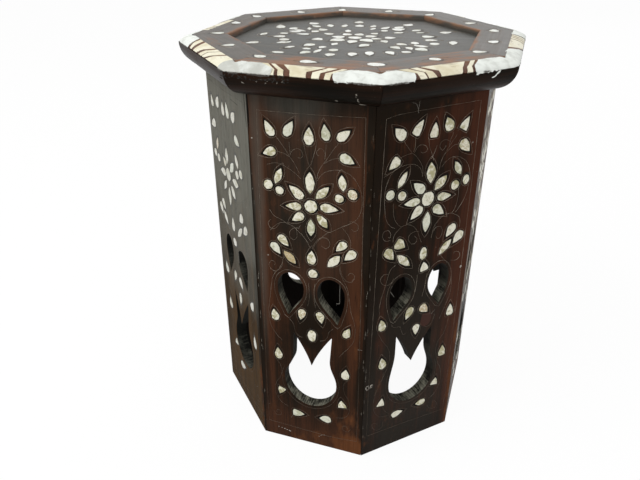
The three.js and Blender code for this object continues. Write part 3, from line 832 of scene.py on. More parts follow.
def set_pearl(name, table, place, seed, bed=mastic, shell=pearl):
    """Makes the mastic beds and the pearl pieces of one table as two objects."""
    shapes, centres, lengths, widths, degrees, tones = table
    dice = np.random.default_rng(seed)
    units = cut_outlines(shapes, CUTS_PER_PEARL, FILING_SHARE, dice)
    beds = lay_out(units, centres, lengths, widths, degrees, MASTIC_MARGIN, MASTIC_TIP)
    cut = lay_out(units, centres, lengths, widths, degrees)
    add_piece(f"mastic_{name}", *inlay_solids(beds, place, MASTIC_RISE, 0), bed)
    points, faces = inlay_solids(cut, place, PEARL_RISE, PEARL_DOME)
    each = 3 * CUTS_PER_PEARL + 1
    chips = np.repeat(dice.uniform(0, 1, (len(shapes), 3)), each, axis=0)
    crown = np.zeros(each)
    crown[2 * CUTS_PER_PEARL:] = 1
    shade = np.repeat(dice.uniform(0, 1, (len(shapes), 3)), each, axis=0)
    extra = {"chip": points + chips, "shade": shade, "tone": np.repeat(tones, each),
             "crown": np.tile(crown, len(shapes))}
    add_piece(f"pearl_{name}", points, faces, shell, PEARL_SHARP_DEGREES, extra)


def side_place(number):
    """A function that carries across, up and a level above the panel to the frame."""
    return lambda across, up, level: on_side(number, across, body_apothem + level, up)


for number in SIDE_NUMBERS:
    rows, mirror = PEARL_OF_SIDE[number]
    table = read_rows(rows, mirror, panel_width, visible_height)
    finishes = (sheen_grey_mastic, left_pearl) if number in GREY_SIDES else (mastic, pearl)
    set_pearl(f"side_{number}", table, side_place(number), number, *finishes)
print("pearl set on", SIDES, "sides")

# %% [markdown]
# ## Bent wire
# Thin tin wire, bent with pliers and hammered into scored lines, draws the stems, loops and curls
# between the pearl, and a ring around each piece and each hole. A line is given by a few stops and
# a smooth curve through them, and is made as a low ridge with three edges.
# %% Lines, rings and ridges
WIRE_HALF = 0.00038
WIRE_RISE = 0.00018
LINE_STEP = 0.0018
RING_MARGIN = 0.0017
RING_TIP = 0.0046


def smooth_line(stops, spacing):
    """A cubic between each two stops, whose slope at a stop is half the step between the stops
    before and after it."""
    ends = np.concatenate([2 * stops[:1] - stops[1:2], stops, 2 * stops[-1:] - stops[-2:-1]])
    before, start, end, after = ends[:-3], ends[1:-2], ends[2:-1], ends[3:]
    count = max(2, int(np.linalg.norm(end - start, axis=1).max() / spacing))
    share = (np.arange(count) / count)[:, None, None]
    line = start + 0.5 * ((end - before) * share
                          + (2 * before - 5 * start + 4 * end - after) * share ** 2
                          + (3 * start - before - 3 * end + after) * share ** 3)
    return np.concatenate([np.moveaxis(line, 0, 1).reshape(-1, 2), stops[-1:]])


def ridge_points(lines, ahead, place):
    """Three points across each point of a line: both edges sunk in the wood and the top."""
    ahead = ahead / np.linalg.norm(ahead, axis=-1, keepdims=True)
    aside = np.stack([-ahead[..., 1], ahead[..., 0]], axis=-1)
    edges = ((-WIRE_HALF, -INLAY_DEPTH), (0, WIRE_RISE), (WIRE_HALF, -INLAY_DEPTH))
    made = [place(*np.moveaxis(lines + aside * shift, -1, 0), level) for shift, level in edges]
    return np.stack(made, axis=-2)


def wire_lines(lines, place):
    """Open lines as closed ridges."""
    return [closed_run(ridge_points(line, np.gradient(line, axis=0), place)) for line in lines]


def wire_rings(rings, place):
    """Closed rings, an array of ring, point and place, as ridges that join end to end."""
    ahead = np.roll(rings, -1, axis=1) - np.roll(rings, 1, axis=1)
    count = rings.shape[1]
    return [(ring.reshape(-1, 3), [grid_faces(count, 3, True, True)])
            for ring in ridge_points(rings, ahead, place)]


print("wire", 2 * WIRE_HALF, "wide")

# %% [markdown]
# ## The drawing of the wire
# The lines were read off the photograph as shares of the panel: across from its middle, and up its
# visible height. The first four lines of each table are the frame.
# %% Tables of the wire on the sides
FRONT_WIRE_SHARES = [
    [(-0.42, 0.965), (-0.1, 0.966), (0.2, 0.969), (0.425, 0.972)],
    [(0.425, 0.972), (0.43, 0.8), (0.438, 0.6), (0.445, 0.4), (0.45, 0.2), (0.45, 0.05)],
    [(0.45, 0.05), (0.2, 0.044), (-0.1, 0.046), (-0.45, 0.05)],
    [(-0.45, 0.05), (-0.455, 0.2), (-0.445, 0.45), (-0.435, 0.7), (-0.42, 0.965)],
    [(-0.27, 0.91), (-0.21, 0.888), (-0.165, 0.868), (-0.12, 0.85), (-0.085, 0.83)],
    [(-0.165, 0.9), (-0.16, 0.885), (-0.155, 0.87)],
    [(-0.27, 0.876), (-0.21, 0.873), (-0.16, 0.866)],
    [(-0.055, 0.915), (-0.04, 0.89), (-0.02, 0.865), (0, 0.852), (0.02, 0.865), (0.045, 0.89),
     (0.06, 0.915)],
    [(0.13, 0.905), (0.125, 0.885), (0.12, 0.872)],
    [(0.225, 0.91), (0.18, 0.892), (0.14, 0.873), (0.1, 0.856), (0.07, 0.84), (0.055, 0.822)],
    [(0.235, 0.877), (0.19, 0.874), (0.15, 0.868), (0.115, 0.861)],
    [(-0.35, 0.842), (-0.29, 0.848), (-0.23, 0.846), (-0.17, 0.838), (-0.115, 0.828), (-0.075, 0.818)],
    [(0.06, 0.818), (0.09, 0.832), (0.13, 0.842), (0.19, 0.848), (0.25, 0.849), (0.32, 0.842),
     (0.37, 0.828), (0.41, 0.805), (0.42, 0.775), (0.405, 0.75), (0.37, 0.733), (0.32, 0.722),
     (0.26, 0.712), (0.2, 0.7), (0.14, 0.69), (0.09, 0.675), (0.05, 0.66), (0.02, 0.645), (0.005, 0.632)],
    [(-0.35, 0.73), (-0.31, 0.715), (-0.25, 0.708), (-0.2, 0.7), (-0.15, 0.695), (-0.11, 0.685),
     (-0.07, 0.675), (-0.03, 0.66), (-0.005, 0.645)],
    [(-0.35, 0.675), (-0.31, 0.688), (-0.26, 0.699), (-0.2, 0.701)],
    [(0.26, 0.712), (0.3, 0.7), (0.33, 0.685), (0.34, 0.67), (0.335, 0.655)],
    [(-0.25, 0.6), (-0.255, 0.588), (-0.29, 0.57), (-0.325, 0.556), (-0.35, 0.54), (-0.365, 0.515),
     (-0.375, 0.49), (-0.392, 0.46), (-0.4, 0.43), (-0.385, 0.395), (-0.34, 0.37), (-0.28, 0.35)],
    [(0.25, 0.603), (0.255, 0.59), (0.285, 0.57), (0.315, 0.553), (0.335, 0.53), (0.345, 0.505),
     (0.36, 0.48), (0.385, 0.455), (0.4, 0.43), (0.39, 0.395), (0.35, 0.372), (0.3, 0.352), (0.26, 0.335)],
    [(-0.02, 0.545), (-0.015, 0.5), (-0.03, 0.475)], [(0.035, 0.545), (0.03, 0.5), (0.04, 0.475)],
    [(-0.2, 0.425), (-0.165, 0.41), (-0.15, 0.39), (-0.12, 0.376), (-0.075, 0.374)],
    [(0.2, 0.42), (0.165, 0.408), (0.15, 0.39), (0.12, 0.378), (0.08, 0.374)],
    [(-0.36, 0.29), (-0.3, 0.26), (-0.31, 0.225), (-0.355, 0.2), (-0.37, 0.165), (-0.32, 0.135),
     (-0.24, 0.12)],
    [(0.36, 0.265), (0.31, 0.245), (0.32, 0.215), (0.365, 0.19), (0.37, 0.155), (0.33, 0.13), (0.24, 0.12)],
]
FRONT_LOW_CURL_SHARES = [
    [(-0.4, 0.09), (-0.367, 0.078), (-0.324, 0.0815), (-0.318, 0.093), (-0.348, 0.098), (-0.369, 0.093),
     (-0.364, 0.087)],
    [(0.39, 0.09), (0.357, 0.078), (0.314, 0.0815), (0.308, 0.093), (0.338, 0.098), (0.359, 0.093),
     (0.354, 0.087)],
]
RIGHT_WIRE_SHARES = [
    [(-0.415, 0.968), (-0.3, 0.973), (0, 0.975), (0.43, 0.976)],
    [(0.43, 0.976), (0.44, 0.8), (0.445, 0.6), (0.448, 0.4), (0.45, 0.2), (0.45, 0.057)],
    [(0.45, 0.057), (0.2, 0.061), (0, 0.064), (-0.3, 0.067), (-0.445, 0.068)],
    [(-0.445, 0.068), (-0.45, 0.25), (-0.44, 0.5), (-0.43, 0.75), (-0.415, 0.968)],
    [(-0.25, 0.912), (-0.21, 0.897), (-0.17, 0.882)], [(-0.15, 0.915), (-0.148, 0.895), (-0.16, 0.884)],
    [(-0.28, 0.876), (-0.2, 0.881), (-0.15, 0.878), (-0.1, 0.862), (-0.065, 0.845), (-0.055, 0.828)],
    [(-0.03, 0.91), (-0.015, 0.89), (0.02, 0.868), (0.035, 0.855)],
    [(0.055, 0.89), (0.035, 0.872), (0.01, 0.86)],
    [(0.2, 0.912), (0.178, 0.896), (0.17, 0.882)],
    [(0.235, 0.905), (0.19, 0.888), (0.145, 0.87), (0.11, 0.85), (0.098, 0.83)],
    [(0.28, 0.882), (0.22, 0.882), (0.17, 0.873), (0.14, 0.865)],
    [(-0.41, 0.838), (-0.35, 0.845), (-0.29, 0.853), (-0.22, 0.857), (-0.15, 0.855), (-0.1, 0.847),
     (-0.07, 0.835), (-0.055, 0.82)],
    [(-0.3, 0.855), (-0.35, 0.84), (-0.385, 0.815), (-0.395, 0.79), (-0.385, 0.76), (-0.37, 0.735),
     (-0.33, 0.715), (-0.28, 0.705)],
    [(-0.31, 0.77), (-0.305, 0.75), (-0.29, 0.73), (-0.25, 0.712), (-0.22, 0.705)],
    [(-0.29, 0.67), (-0.285, 0.685), (-0.25, 0.698), (-0.2, 0.707), (-0.14, 0.705), (-0.09, 0.695),
     (-0.06, 0.683), (-0.035, 0.665), (-0.01, 0.65)],
    [(0.085, 0.655), (0.1, 0.68), (0.13, 0.695), (0.18, 0.707), (0.25, 0.71), (0.3, 0.705), (0.35, 0.695),
     (0.37, 0.68), (0.37, 0.665)],
    [(0.12, 0.835), (0.15, 0.845), (0.2, 0.853), (0.26, 0.853), (0.32, 0.845), (0.37, 0.832), (0.4, 0.815),
     (0.415, 0.79), (0.4, 0.755), (0.36, 0.728), (0.31, 0.71)],
    [(0.315, 0.77), (0.318, 0.75), (0.3, 0.722), (0.27, 0.709)],
    [(0.2, 0.6), (0.24, 0.585), (0.3, 0.565), (0.34, 0.54), (0.355, 0.51), (0.36, 0.48), (0.345, 0.46),
     (0.31, 0.43), (0.27, 0.4)],
    [(-0.25, 0.605), (-0.3, 0.592), (-0.34, 0.55), (-0.37, 0.52), (-0.385, 0.49), (-0.375, 0.47)],
    [(-0.02, 0.56), (-0.025, 0.52), (-0.05, 0.49)], [(0.08, 0.555), (0.07, 0.52), (0.05, 0.49)],
    [(-0.25, 0.43), (-0.22, 0.418), (-0.16, 0.415), (-0.14, 0.4), (-0.12, 0.387), (-0.09, 0.388)],
    [(0.2, 0.421), (0.21, 0.417), (0.19, 0.4), (0.17, 0.39), (0.13, 0.388), (0.105, 0.393)],
    [(-0.3, 0.28), (-0.31, 0.255), (-0.345, 0.235), (-0.375, 0.21), (-0.39, 0.18), (-0.375, 0.15),
     (-0.33, 0.128), (-0.27, 0.119), (-0.2, 0.117)],
    [(-0.29, 0.16), (-0.27, 0.145), (-0.235, 0.13), (-0.2, 0.122)],
    [(0.3, 0.25), (0.34, 0.23), (0.365, 0.205), (0.37, 0.18), (0.345, 0.15), (0.3, 0.13), (0.25, 0.122)],
    [(0.05, 0.117), (0.1, 0.105), (0.15, 0.101), (0.2, 0.104)],
]
print("wire lines on the front:", len(FRONT_WIRE_SHARES))

# %% [markdown]
# ## Where the photograph was taken from
# Most curls are too small to be read as shares. Their points, and those of the fine cracks and of some
# flakes, were picked in enlarged crops of the photograph, and the camera carries them to the side. The
# camera was found by fitting the octagon's corners: it stands before the stool's front right corner, a
# little above the top, and looks down by 29 degrees.
# %% Points picked in the photograph
CAMERA_PLACE = (0.1874, -0.684, 0.612)
LOOK_DEGREES = 108.5
DOWN_DEGREES = 29.25
FOCAL_PIXELS = 615.0
PHOTO_PIXELS = (640, 480)


def picked_shares(number, crop, picks, out=body_apothem, size=(panel_width, visible_height)):
    """Shares of a side for points picked in a crop: its left and top pixel and its enlargement.

    A pixel's ray is the forward direction, plus its way to the right of the photograph's middle
    and up from it over the focal length. It is followed until it is as far out as the side.
    """
    look, down = math.radians(LOOK_DEGREES), math.radians(DOWN_DEGREES)
    level = math.cos(down)
    forward = np.array([math.cos(look) * level, math.sin(look) * level, -math.sin(down)])
    right = np.array([math.sin(look), -math.cos(look), 0])
    above = np.cross(right, forward)
    away = np.array(crop[:2]) + np.array(picks) / crop[2] - np.array(PHOTO_PIXELS) / 2
    rays = forward + (away[:, :1] * right - away[:, 1:] * above) / FOCAL_PIXELS
    start = from_side(number, np.array([CAMERA_PLACE]))
    rays = from_side(number, rays)
    reach = (out - start[:, 1]) / rays[:, 1]
    return (start + reach[:, None] * rays)[:, ::2] / np.array(size)


def picked_lines(number, crop, lines):
    """The same for lines of picked points."""
    return [picked_shares(number, crop, picks) for picks in lines]


print("the camera stands at", CAMERA_PLACE)

# %% [markdown]
# ## Curls
# A curl is a hook of five to eight picks, from its stem around the end of the hook. The last two
# lines of the right side are long waves beside the tulip, picked in the same way.
# %% Curls of the wire
FRONT_CROP_PIXELS = (240, 90, 7.467)
RIGHT_HIGH_CROP_PIXELS = (370, 95, 8.957)
RIGHT_LOW_CROP_PIXELS = (350, 270, 8.25)
FRONT_CURL_PIXELS = [
    [(372, 490), (383, 462), (410, 440), (440, 440), (463, 462), (468, 490), (455, 508), (432, 506)],
    [(632, 520), (638, 485), (622, 448), (598, 437), (575, 455), (573, 480), (590, 492)],
    [(820, 985), (858, 990), (883, 1018), (878, 1048), (852, 1058), (832, 1042)],
    [(300, 990), (262, 1032), (225, 1025), (210, 990), (228, 966)],
    [(435, 1030), (398, 1032), (372, 1058), (372, 1095), (400, 1118), (424, 1098), (424, 1045)],
    [(545, 1165), (588, 1112), (640, 1106), (670, 1138), (664, 1172), (636, 1184), (608, 1166)],
    [(325, 1250), (308, 1320), (270, 1350), (232, 1335), (217, 1300), (235, 1273), (262, 1285),
     (258, 1308)],
    [(745, 1310), (756, 1370), (790, 1425), (830, 1435), (855, 1402), (845, 1376), (820, 1370),
     (805, 1388)],
]
RIGHT_HIGH_CURL_PIXELS = [
    [(400, 515), (420, 475), (455, 447), (493, 450), (515, 480), (500, 510), (465, 518), (456, 505)],
    [(722, 420), (690, 400), (650, 412), (628, 445), (632, 480), (652, 495), (672, 470), (682, 450)],
    [(180, 1305), (140, 1310), (112, 1275), (125, 1230), (165, 1215), (185, 1245), (180, 1280),
     (165, 1275)],
    [(440, 1222), (395, 1225), (355, 1255), (345, 1300), (375, 1335), (410, 1320), (420, 1285),
     (395, 1262)],
    [(560, 1230), (590, 1185), (630, 1178), (648, 1215), (632, 1270), (605, 1285), (590, 1262)],
    [(720, 1480), (770, 1475), (803, 1440), (795, 1405), (760, 1400), (750, 1425)],
]
RIGHT_LOW_CURL_PIXELS = [
    [(320, 38), (280, 40), (252, 78), (262, 115), (300, 130), (338, 108), (362, 70)],
    [(270, 1250), (265, 1290), (230, 1320), (190, 1310), (180, 1280), (200, 1265), (225, 1272)],
    [(635, 1120), (660, 1140), (700, 1130), (712, 1095), (690, 1075), (675, 1090)],
    [(228, 520), (270, 590), (312, 645), (328, 705), (318, 775), (280, 870), (232, 955), (200, 1040)],
    [(812, 385), (800, 440), (770, 520), (722, 590), (706, 660), (716, 740), (742, 800), (745, 870)],
]
front_wire = (FRONT_WIRE_SHARES + picked_lines(1, FRONT_CROP_PIXELS, FRONT_CURL_PIXELS)
              + FRONT_LOW_CURL_SHARES)
right_wire = (RIGHT_WIRE_SHARES + picked_lines(2, RIGHT_HIGH_CROP_PIXELS, RIGHT_HIGH_CURL_PIXELS)
              + picked_lines(2, RIGHT_LOW_CROP_PIXELS, RIGHT_LOW_CURL_PIXELS))
WIRE_OF_SIDE = {number: right_wire if number in (2, 5) else front_wire for number in SIDE_NUMBERS}
print("wire lines and curls on the front:", len(front_wire))

# %% [markdown]
# ## Rings around the holes
# The wire that runs around each drop and under each tulip keeps an even distance to the hole, so
# it is found from the panel itself: the edges between the outer face and the sawn walls are walked
# end to end, and the walk is pushed outwards.
# %% The outlines of the holes
HOLE_RING = 0.0038
RING_STEP = 0.0022
BOWL_TOP_SHARE = 0.265


def hole_loops(number):
    """The outline of each hole on the outer face, as across and up in order around it."""
    mesh = merged_copy(f"side_panel_{number}")
    local = from_side(number, mesh_points(mesh))
    outer = local[:, 1] > body_apothem - ARRIS_WIDTH / 2
    inside = outer & (np.abs(local[:, 0]) < panel_width / 2 - HOLE_RING) & (local[:, 2] > HOLE_RING)
    inside &= local[:, 2] < visible_height
    work = bmesh.new()
    work.from_mesh(mesh)
    beside = {}
    for edge in work.edges:
        first, second = (corner.index for corner in edge.verts)
        on_fold = abs(edge.calc_face_angle(0)) > math.radians(ARRIS_DEGREES)
        if inside[first] and inside[second] and on_fold:
            beside.setdefault(first, []).append(second)
            beside.setdefault(second, []).append(first)
    work.free()
    loops = []
    while beside:
        at, others = beside.popitem()
        walk = [at]
        step = others[0]
        while step in beside:
            walk.append(step)
            onward = [point for point in beside.pop(step) if point in beside]
            step = onward[0] if onward else None
        loops.append(local[walk][:, [0, 2]])
    return loops


def ring_around(loop, distance, spacing):
    """Spaces a closed outline evenly and pushes each point out, square to its neighbours."""
    closed = np.concatenate([loop, loop[:1]])
    run = np.concatenate([[0], np.cumsum(np.linalg.norm(np.diff(closed, axis=0), axis=1))])
    even = np.linspace(0, run[-1], int(run[-1] / spacing), endpoint=False)
    ring = np.stack([np.interp(even, run, closed[:, axis]) for axis in (0, 1)], axis=-1)
    ahead = np.roll(ring, -1, axis=0) - np.roll(ring, 1, axis=0)
    turning = np.sum(ring[:, 0] * ahead[:, 1] - ring[:, 1] * ahead[:, 0])
    away = np.stack([ahead[:, 1], -ahead[:, 0]], axis=-1) * np.sign(turning)
    return ring + distance * away / np.linalg.norm(away, axis=1, keepdims=True)


def hole_lines(number):
    """Whole rings around the drops, and a ring under the bowl of the tulip that is left open."""
    rings, bowls = [], []
    for loop in hole_loops(number):
        ring = ring_around(loop, HOLE_RING, RING_STEP)
        if loop[:, 1].min() > BOWL_TOP_SHARE * visible_height:
            rings.append(ring[None])
        else:
            ring = np.roll(ring, -int(ring[:, 1].argmax()), axis=0)
            bowls.append(ring[ring[:, 1] < BOWL_TOP_SHARE * visible_height])
    return rings, bowls


print("rings run", HOLE_RING, "outside the holes")


# %% [markdown]
# ## Setting the wire
# One object for each side holds its stems and curls, its rings around the pearl and its rings
# around the holes.
# %% Wire on the sides
RING_CORNERS = 28
WIRE_SHARP_DEGREES = 80


def pearl_rings(table):
    """The smooth outline of each piece with a margin, drawn to a longer point at the tip."""
    shapes, centres, lengths, widths, degrees = table[:5]
    units = cut_outlines(shapes, RING_CORNERS, 0, np.random.default_rng(0))
    pointed = np.array([TIP_TAIL_AND_CUT_OF_SHAPE[shape][0] for shape in shapes])
    along = lengths + pointed * RING_TIP
    ahead = np.stack([np.cos(np.radians(degrees)), np.sin(np.radians(degrees))], axis=-1)
    middles = centres + ahead * (pointed * RING_TIP / 2)[:, None]
    return lay_out(units, middles, along, widths, degrees, RING_MARGIN)


def set_wire(name, lines, rings, place, finish=wire):
    """Makes one object of all the lines and rings of a face."""
    parts = wire_lines(lines, place)
    for group in rings:
        parts += wire_rings(group, place)
    points, faces = gather(parts)
    add_piece(f"wire_{name}", points, faces, finish, WIRE_SHARP_DEGREES)


for number in SIDE_NUMBERS:
    rows, mirror = PEARL_OF_SIDE[number]
    size = np.array([mirror * panel_width, visible_height])
    lines = [smooth_line(np.array(stops) * size, LINE_STEP) for stops in WIRE_OF_SIDE[number]]
    rings, bowls = hole_lines(number)
    rings.append(pearl_rings(read_rows(rows, mirror, panel_width, visible_height)))
    finish = dusty_wire if number in GREY_SIDES else wire
    set_wire(f"side_{number}", lines + bowls, rings, side_place(number), finish)
print("wire set on", SIDES, "sides")

# %% [markdown]
# ## The edge band
# Blocks of bone with thin strips of red wood between them are glued around the top's edge and
# rasped to one slope. The band's section is a bent line from the rim down to the nose. A strip
# crosses it at a slant, so each boundary has one place at the rim, one at the bend and one at the
# foot. On the far left side the bone laps the rim board, so it is seen from the front as well.
# %% The section of the band
BAND_SECTION_SHARES = ((0, 1), (0.2, 0.88), (0.4, 0.76), (0.56, 0.64), (0.72, 0.5), (0.88, 0.32),
                       (0.97, 0.16))
BEND_INDEX = 3
LAP_SHARE_OF_SIDE = {7: 0.4}
BLOCK_DEPTH = 0.0024
BLOCK_CHAMFER = 0.00022
BLOCK_GAP = 0.00006
BONE_RISE = 0.00012
STRIP_DROP = 0.00008


def section_shares(number):
    """The section's shares. Where the bone laps the rim board, the upper end is drawn inwards."""
    shares = np.array(BAND_SECTION_SHARES)
    if number in LAP_SHARE_OF_SIDE:
        shares[:2] = ((-LAP_SHARE_OF_SIDE[number], 1), (0, 1))
    return shares


def section_points(shares):
    """Places on the band's section, as apothem and level."""
    shares = np.array(shares)
    out = band_apothem + shares[:, 0] * (nose_apothem - band_apothem)
    return np.stack([out, band_foot + shares[:, 1] * (height - band_foot)], axis=-1)


def section_normals(line):
    """Unit vectors that point out of the band, square to its section."""
    ahead = np.gradient(line, axis=0)
    away = np.stack([-ahead[:, 1], ahead[:, 0]], axis=-1)
    return away / np.linalg.norm(away, axis=1, keepdims=True)


def boundary_line(boundary, count):
    """Spreads a boundary's three places over the points of the section."""
    share = np.arange(count)
    return np.interp(share, (0, BEND_INDEX, count - 1), boundary) * half_side(band_apothem)


def band_block(number, left, right, rise):
    """A closed block between two boundaries, with filed edges, from rim to nose."""
    line = section_points(section_shares(number))
    away = section_normals(line)
    left = boundary_line(left, len(line)) + BLOCK_GAP
    right = boundary_line(right, len(line)) - BLOCK_GAP
    corners = ((left, rise - BLOCK_CHAMFER), (left + BLOCK_CHAMFER, rise), (right - BLOCK_CHAMFER, rise),
               (right, rise - BLOCK_CHAMFER), (right, -BLOCK_DEPTH), (left, -BLOCK_DEPTH))
    rings = [on_side(number, across, *(line + away * level).T) for across, level in corners]
    return closed_run(np.stack(rings, axis=1))


print("band section with", len(BAND_SECTION_SHARES), "points")

# %% [markdown]
# ## Bone, strip wood and filler
# The bone is ivory with fine dirty cracks. The corners of the edge have lost their blocks and were
# filled by hand with a bluish-white chalky paste, which is lumpy, grimy and chipped.
# %% Finishes of the band
BONE_DEPTH = 0.0005
SPECK_DEPTH = 0.00015
LUMP_DEPTH = 0.0006


def bone_finish():
    """Ivory clouds, and cracks where a stretched noise crosses its middle value."""
    recipe = Recipe("bone")
    grain = recipe.place("grain")
    clouds = recipe.noise(grain, 55, 4, 0.6)
    fibres = recipe.noise(recipe.stretch(grain, 0.15, 1, 1), 900, 3, 0.6)
    colour = recipe.mix(recipe.step(clouds, 0.3, 0.6), (0.70, 0.63, 0.43), (0.86, 0.825, 0.65))
    crack = recipe.step(recipe.noise(recipe.stretch(grain, 0.25, 1, 1), 170, 4, 0.7), 0.58, 0.7)
    colour = recipe.mix(crack * 0.5, colour, (0.25, 0.17, 0.10))
    colour = recipe.mix(recipe.step(fibres, 0.55, 0.75) * 0.3, colour, (0.42, 0.34, 0.24))
    normal = recipe.bump(clouds - crack * 0.5, BONE_DEPTH, 0.6)
    return recipe.finish(colour, 0.42 + 0.25 * clouds, normal, Coat_Weight=0.1, Coat_Roughness=0.3)


def filler_finish():
    """Bluish-white chalk with grey dust in the hollows and brown grime in a few spots. The grey cast
    attribute greys a whole corner; on the front left corner it is a painted shade. The grime and shade
    attribute darkens the borders with grime, and along the lip it is also a painted shade under the filler's
    overhang."""
    recipe = Recipe("white_filler")
    place = recipe.place()
    lumps = recipe.noise(place, 110, 3, 0.5, 0.3)
    specks = recipe.noise(place, 620, 3, 0.65)
    smears = recipe.noise(place, 46, 4, 0.6, 0.8)
    colour = recipe.mix(recipe.step(lumps, 0.25, 0.6), (0.65, 0.67, 0.62), (0.86, 0.89, 0.84))
    colour = recipe.mix(recipe.step(specks, 0.66, 0.82) * 0.3, colour, (0.42, 0.41, 0.38))
    colour = recipe.mix(recipe.step(smears, 0.60, 0.74) * 0.4, colour, (0.38, 0.34, 0.27))
    # A grey cast over a whole corner: a painted shade on corner 8.
    grey_cast = recipe.number("grey_cast") * (0.25 + 0.75 * recipe.step(smears, 0.35, 0.6))
    colour = recipe.mix(grey_cast, colour, (0.46, 0.46, 0.41))
    # Near black along the borders: grime, and along the lip also a painted shade where the filler overhangs
    # the moulding.
    grime_and_shade = recipe.step(recipe.number("grime_and_shade") + specks * 0.7 + smears * 0.5, 0.95, 1.45)
    colour = recipe.mix(grime_and_shade, colour, (0.045, 0.036, 0.028))
    normal = recipe.bump(specks, SPECK_DEPTH, 0.35, recipe.bump(lumps, LUMP_DEPTH, 0.4))
    return recipe.finish(colour, 0.6 + 0.3 * specks, normal)


bone = bone_finish()
white_filler = filler_finish()
strip_wood = wood("strip_wood", (0.045, 0.018, 0.010), (0.15, 0.062, 0.034), (0.22, 0.10, 0.05), 0.45, 0.2)
print("band finishes:", bone.name, white_filler.name, strip_wood.name)

# %% [markdown]
# ## Where the strips run
# Each row is one boundary between bone and wood, as shares of half the band's inner side. Kinds
# take turns from left to right, beginning with the kind that is named first.
# %% Tables of the band
FRONT_BAND_SHARES = (
    (-0.60, -0.44, -0.42), (-0.51, -0.38, -0.36), (-0.47, -0.335, -0.31), (-0.41, -0.255, -0.225),
    (-0.29, -0.17, -0.14), (0.28, 0.06, 0.08), (0.32, 0.14, 0.15), (0.44, 0.25, 0.255),
    (0.50, 0.315, 0.32), (0.57, 0.40, 0.40), (0.605, 0.45, 0.46),
)
RIGHT_BAND_SHARES = (
    (-0.76, -0.605, -0.62), (-0.73, -0.525, -0.525), (-0.60, -0.42, -0.42), (-0.555, -0.395, -0.40),
    (-0.45, -0.29, -0.27), (-0.395, -0.19, -0.205), (0.305, 0.19, 0.125), (0.40, 0.26, 0.205),
    (0.48, 0.34, 0.30), (0.54, 0.41, 0.35),
)
LEFT_BAND_SHARES = (
    (-0.60, -0.60, -0.555), (-0.54, -0.54, -0.44), (-0.395, -0.395, -0.38), (-0.29, -0.29, -0.29),
    (0.19, -0.03, -0.12), (0.26, 0.06, -0.015), (0.395, 0.175, 0.12), (0.425, 0.205, 0.15),
    (0.625, 0.41, 0.235), (0.685, 0.465, 0.32), (0.93, 0.91, 0.90),
)
SLIVER_BAND_SHARES = (
    (-0.50, -0.38, -0.20), (-0.36, -0.20, -0.04), (0.25, 0.29, 0.31), (0.29, 0.33, 0.36),
    (0.37, 0.42, 0.45), (0.41, 0.46, 0.50), (0.49, 0.54, 0.58), (0.53, 0.58, 0.62),
    (0.60, 0.66, 0.70), (0.64, 0.70, 0.74),
)
BAND_OF_SIDE = {
    1: ("bone", FRONT_BAND_SHARES, 1), 2: ("strip", RIGHT_BAND_SHARES, 1),
    3: ("strip", SLIVER_BAND_SHARES, 1), 4: ("bone", FRONT_BAND_SHARES, -1),
    5: ("strip", RIGHT_BAND_SHARES, -1), 6: ("bone", FRONT_BAND_SHARES, 1),
    7: ("strip", SLIVER_BAND_SHARES, 1), 8: ("strip", LEFT_BAND_SHARES, 1),
}
DRIPS_OF_CORNER = {
    1: ((0.56, 0.0045, 0.003), (-0.66, 0.002, 0.003)), 2: ((0.41, 0.004, 0.0025), (0.86, 0.003, 0.013)),
    8: ((0.8, 0.003, 0.004),), 4: ((0.7, 0.003, 0.004),), 6: ((0.75, 0.0035, 0.004),),
}
# Corner 8's grey cast is a painted shade.
GREY_CAST_SHARE_OF_CORNER = {8: 0.75, 5: 0.5}


def band_rows(number):
    """The boundaries of a side from left to right, mirrored where the table says so."""
    first_kind, rows, mirror = BAND_OF_SIDE[number]
    rows = np.array(rows)
    return first_kind, rows if mirror > 0 else -rows[::-1]


print("boundaries on the front's band:", len(FRONT_BAND_SHARES))


# %% [markdown]
# ## Blocks and strips
# All blocks of a side make one object, and all its strips another.
# %% Laying the band
STRIP_WEAR_SHARE = 0.75
STRIP_WARMTH_SHARES = (0.2, 0.7)


def lay_band(number):
    """Makes the bone blocks and the wood strips of one side."""
    first_kind, rows = band_rows(number)
    kinds = ("bone", "strip") if first_kind == "bone" else ("strip", "bone")
    for place, kind in enumerate(kinds):
        rise = BONE_RISE if kind == "bone" else -STRIP_DROP
        finish = bone if kind == "bone" else strip_wood
        pairs = zip(rows[place:-1:2], rows[place + 1::2])
        blocks = [band_block(number, left, right, rise) for left, right in pairs]
        points, faces = gather(blocks)
        each = len(points) // len(blocks)
        local = from_side(number, points)
        local[:, 0] += np.repeat(np.arange(len(blocks)), each) * panel_width
        up_share = np.clip((points[:, 2] - band_foot) / (height - band_foot), 0, 1)
        extra = {"grain": local, "wear": STRIP_WEAR_SHARE * up_share,
                 "warmth": np.interp(up_share, (0, 1), STRIP_WARMTH_SHARES)}
        slot = "bone" if kind == "bone" else "dark_wood"
        piece = add_piece(f"{kind}_blocks_{number}", points, faces, finish, attributes=extra, slot=slot)
        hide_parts(f"bone_strip_{number}")


def ripple(dice, first, second, length, waves=7):
    """Unevenness from -1 to 1: the mean of a few sine waves with random turns and lengths."""
    turns = dice.uniform(0, 2 * np.pi, (waves, 2))
    lengths = length * dice.uniform(0.6, 1.8, waves)
    total = np.zeros(np.broadcast(first, second).shape)
    for (heading, start), wave in zip(turns, lengths):
        total += np.sin((first * np.cos(heading) + second * np.sin(heading)) * 2 * np.pi / wave + start)
    return total / waves


for number in SIDE_NUMBERS:
    lay_band(number)
print("band laid on", SIDES, "sides")

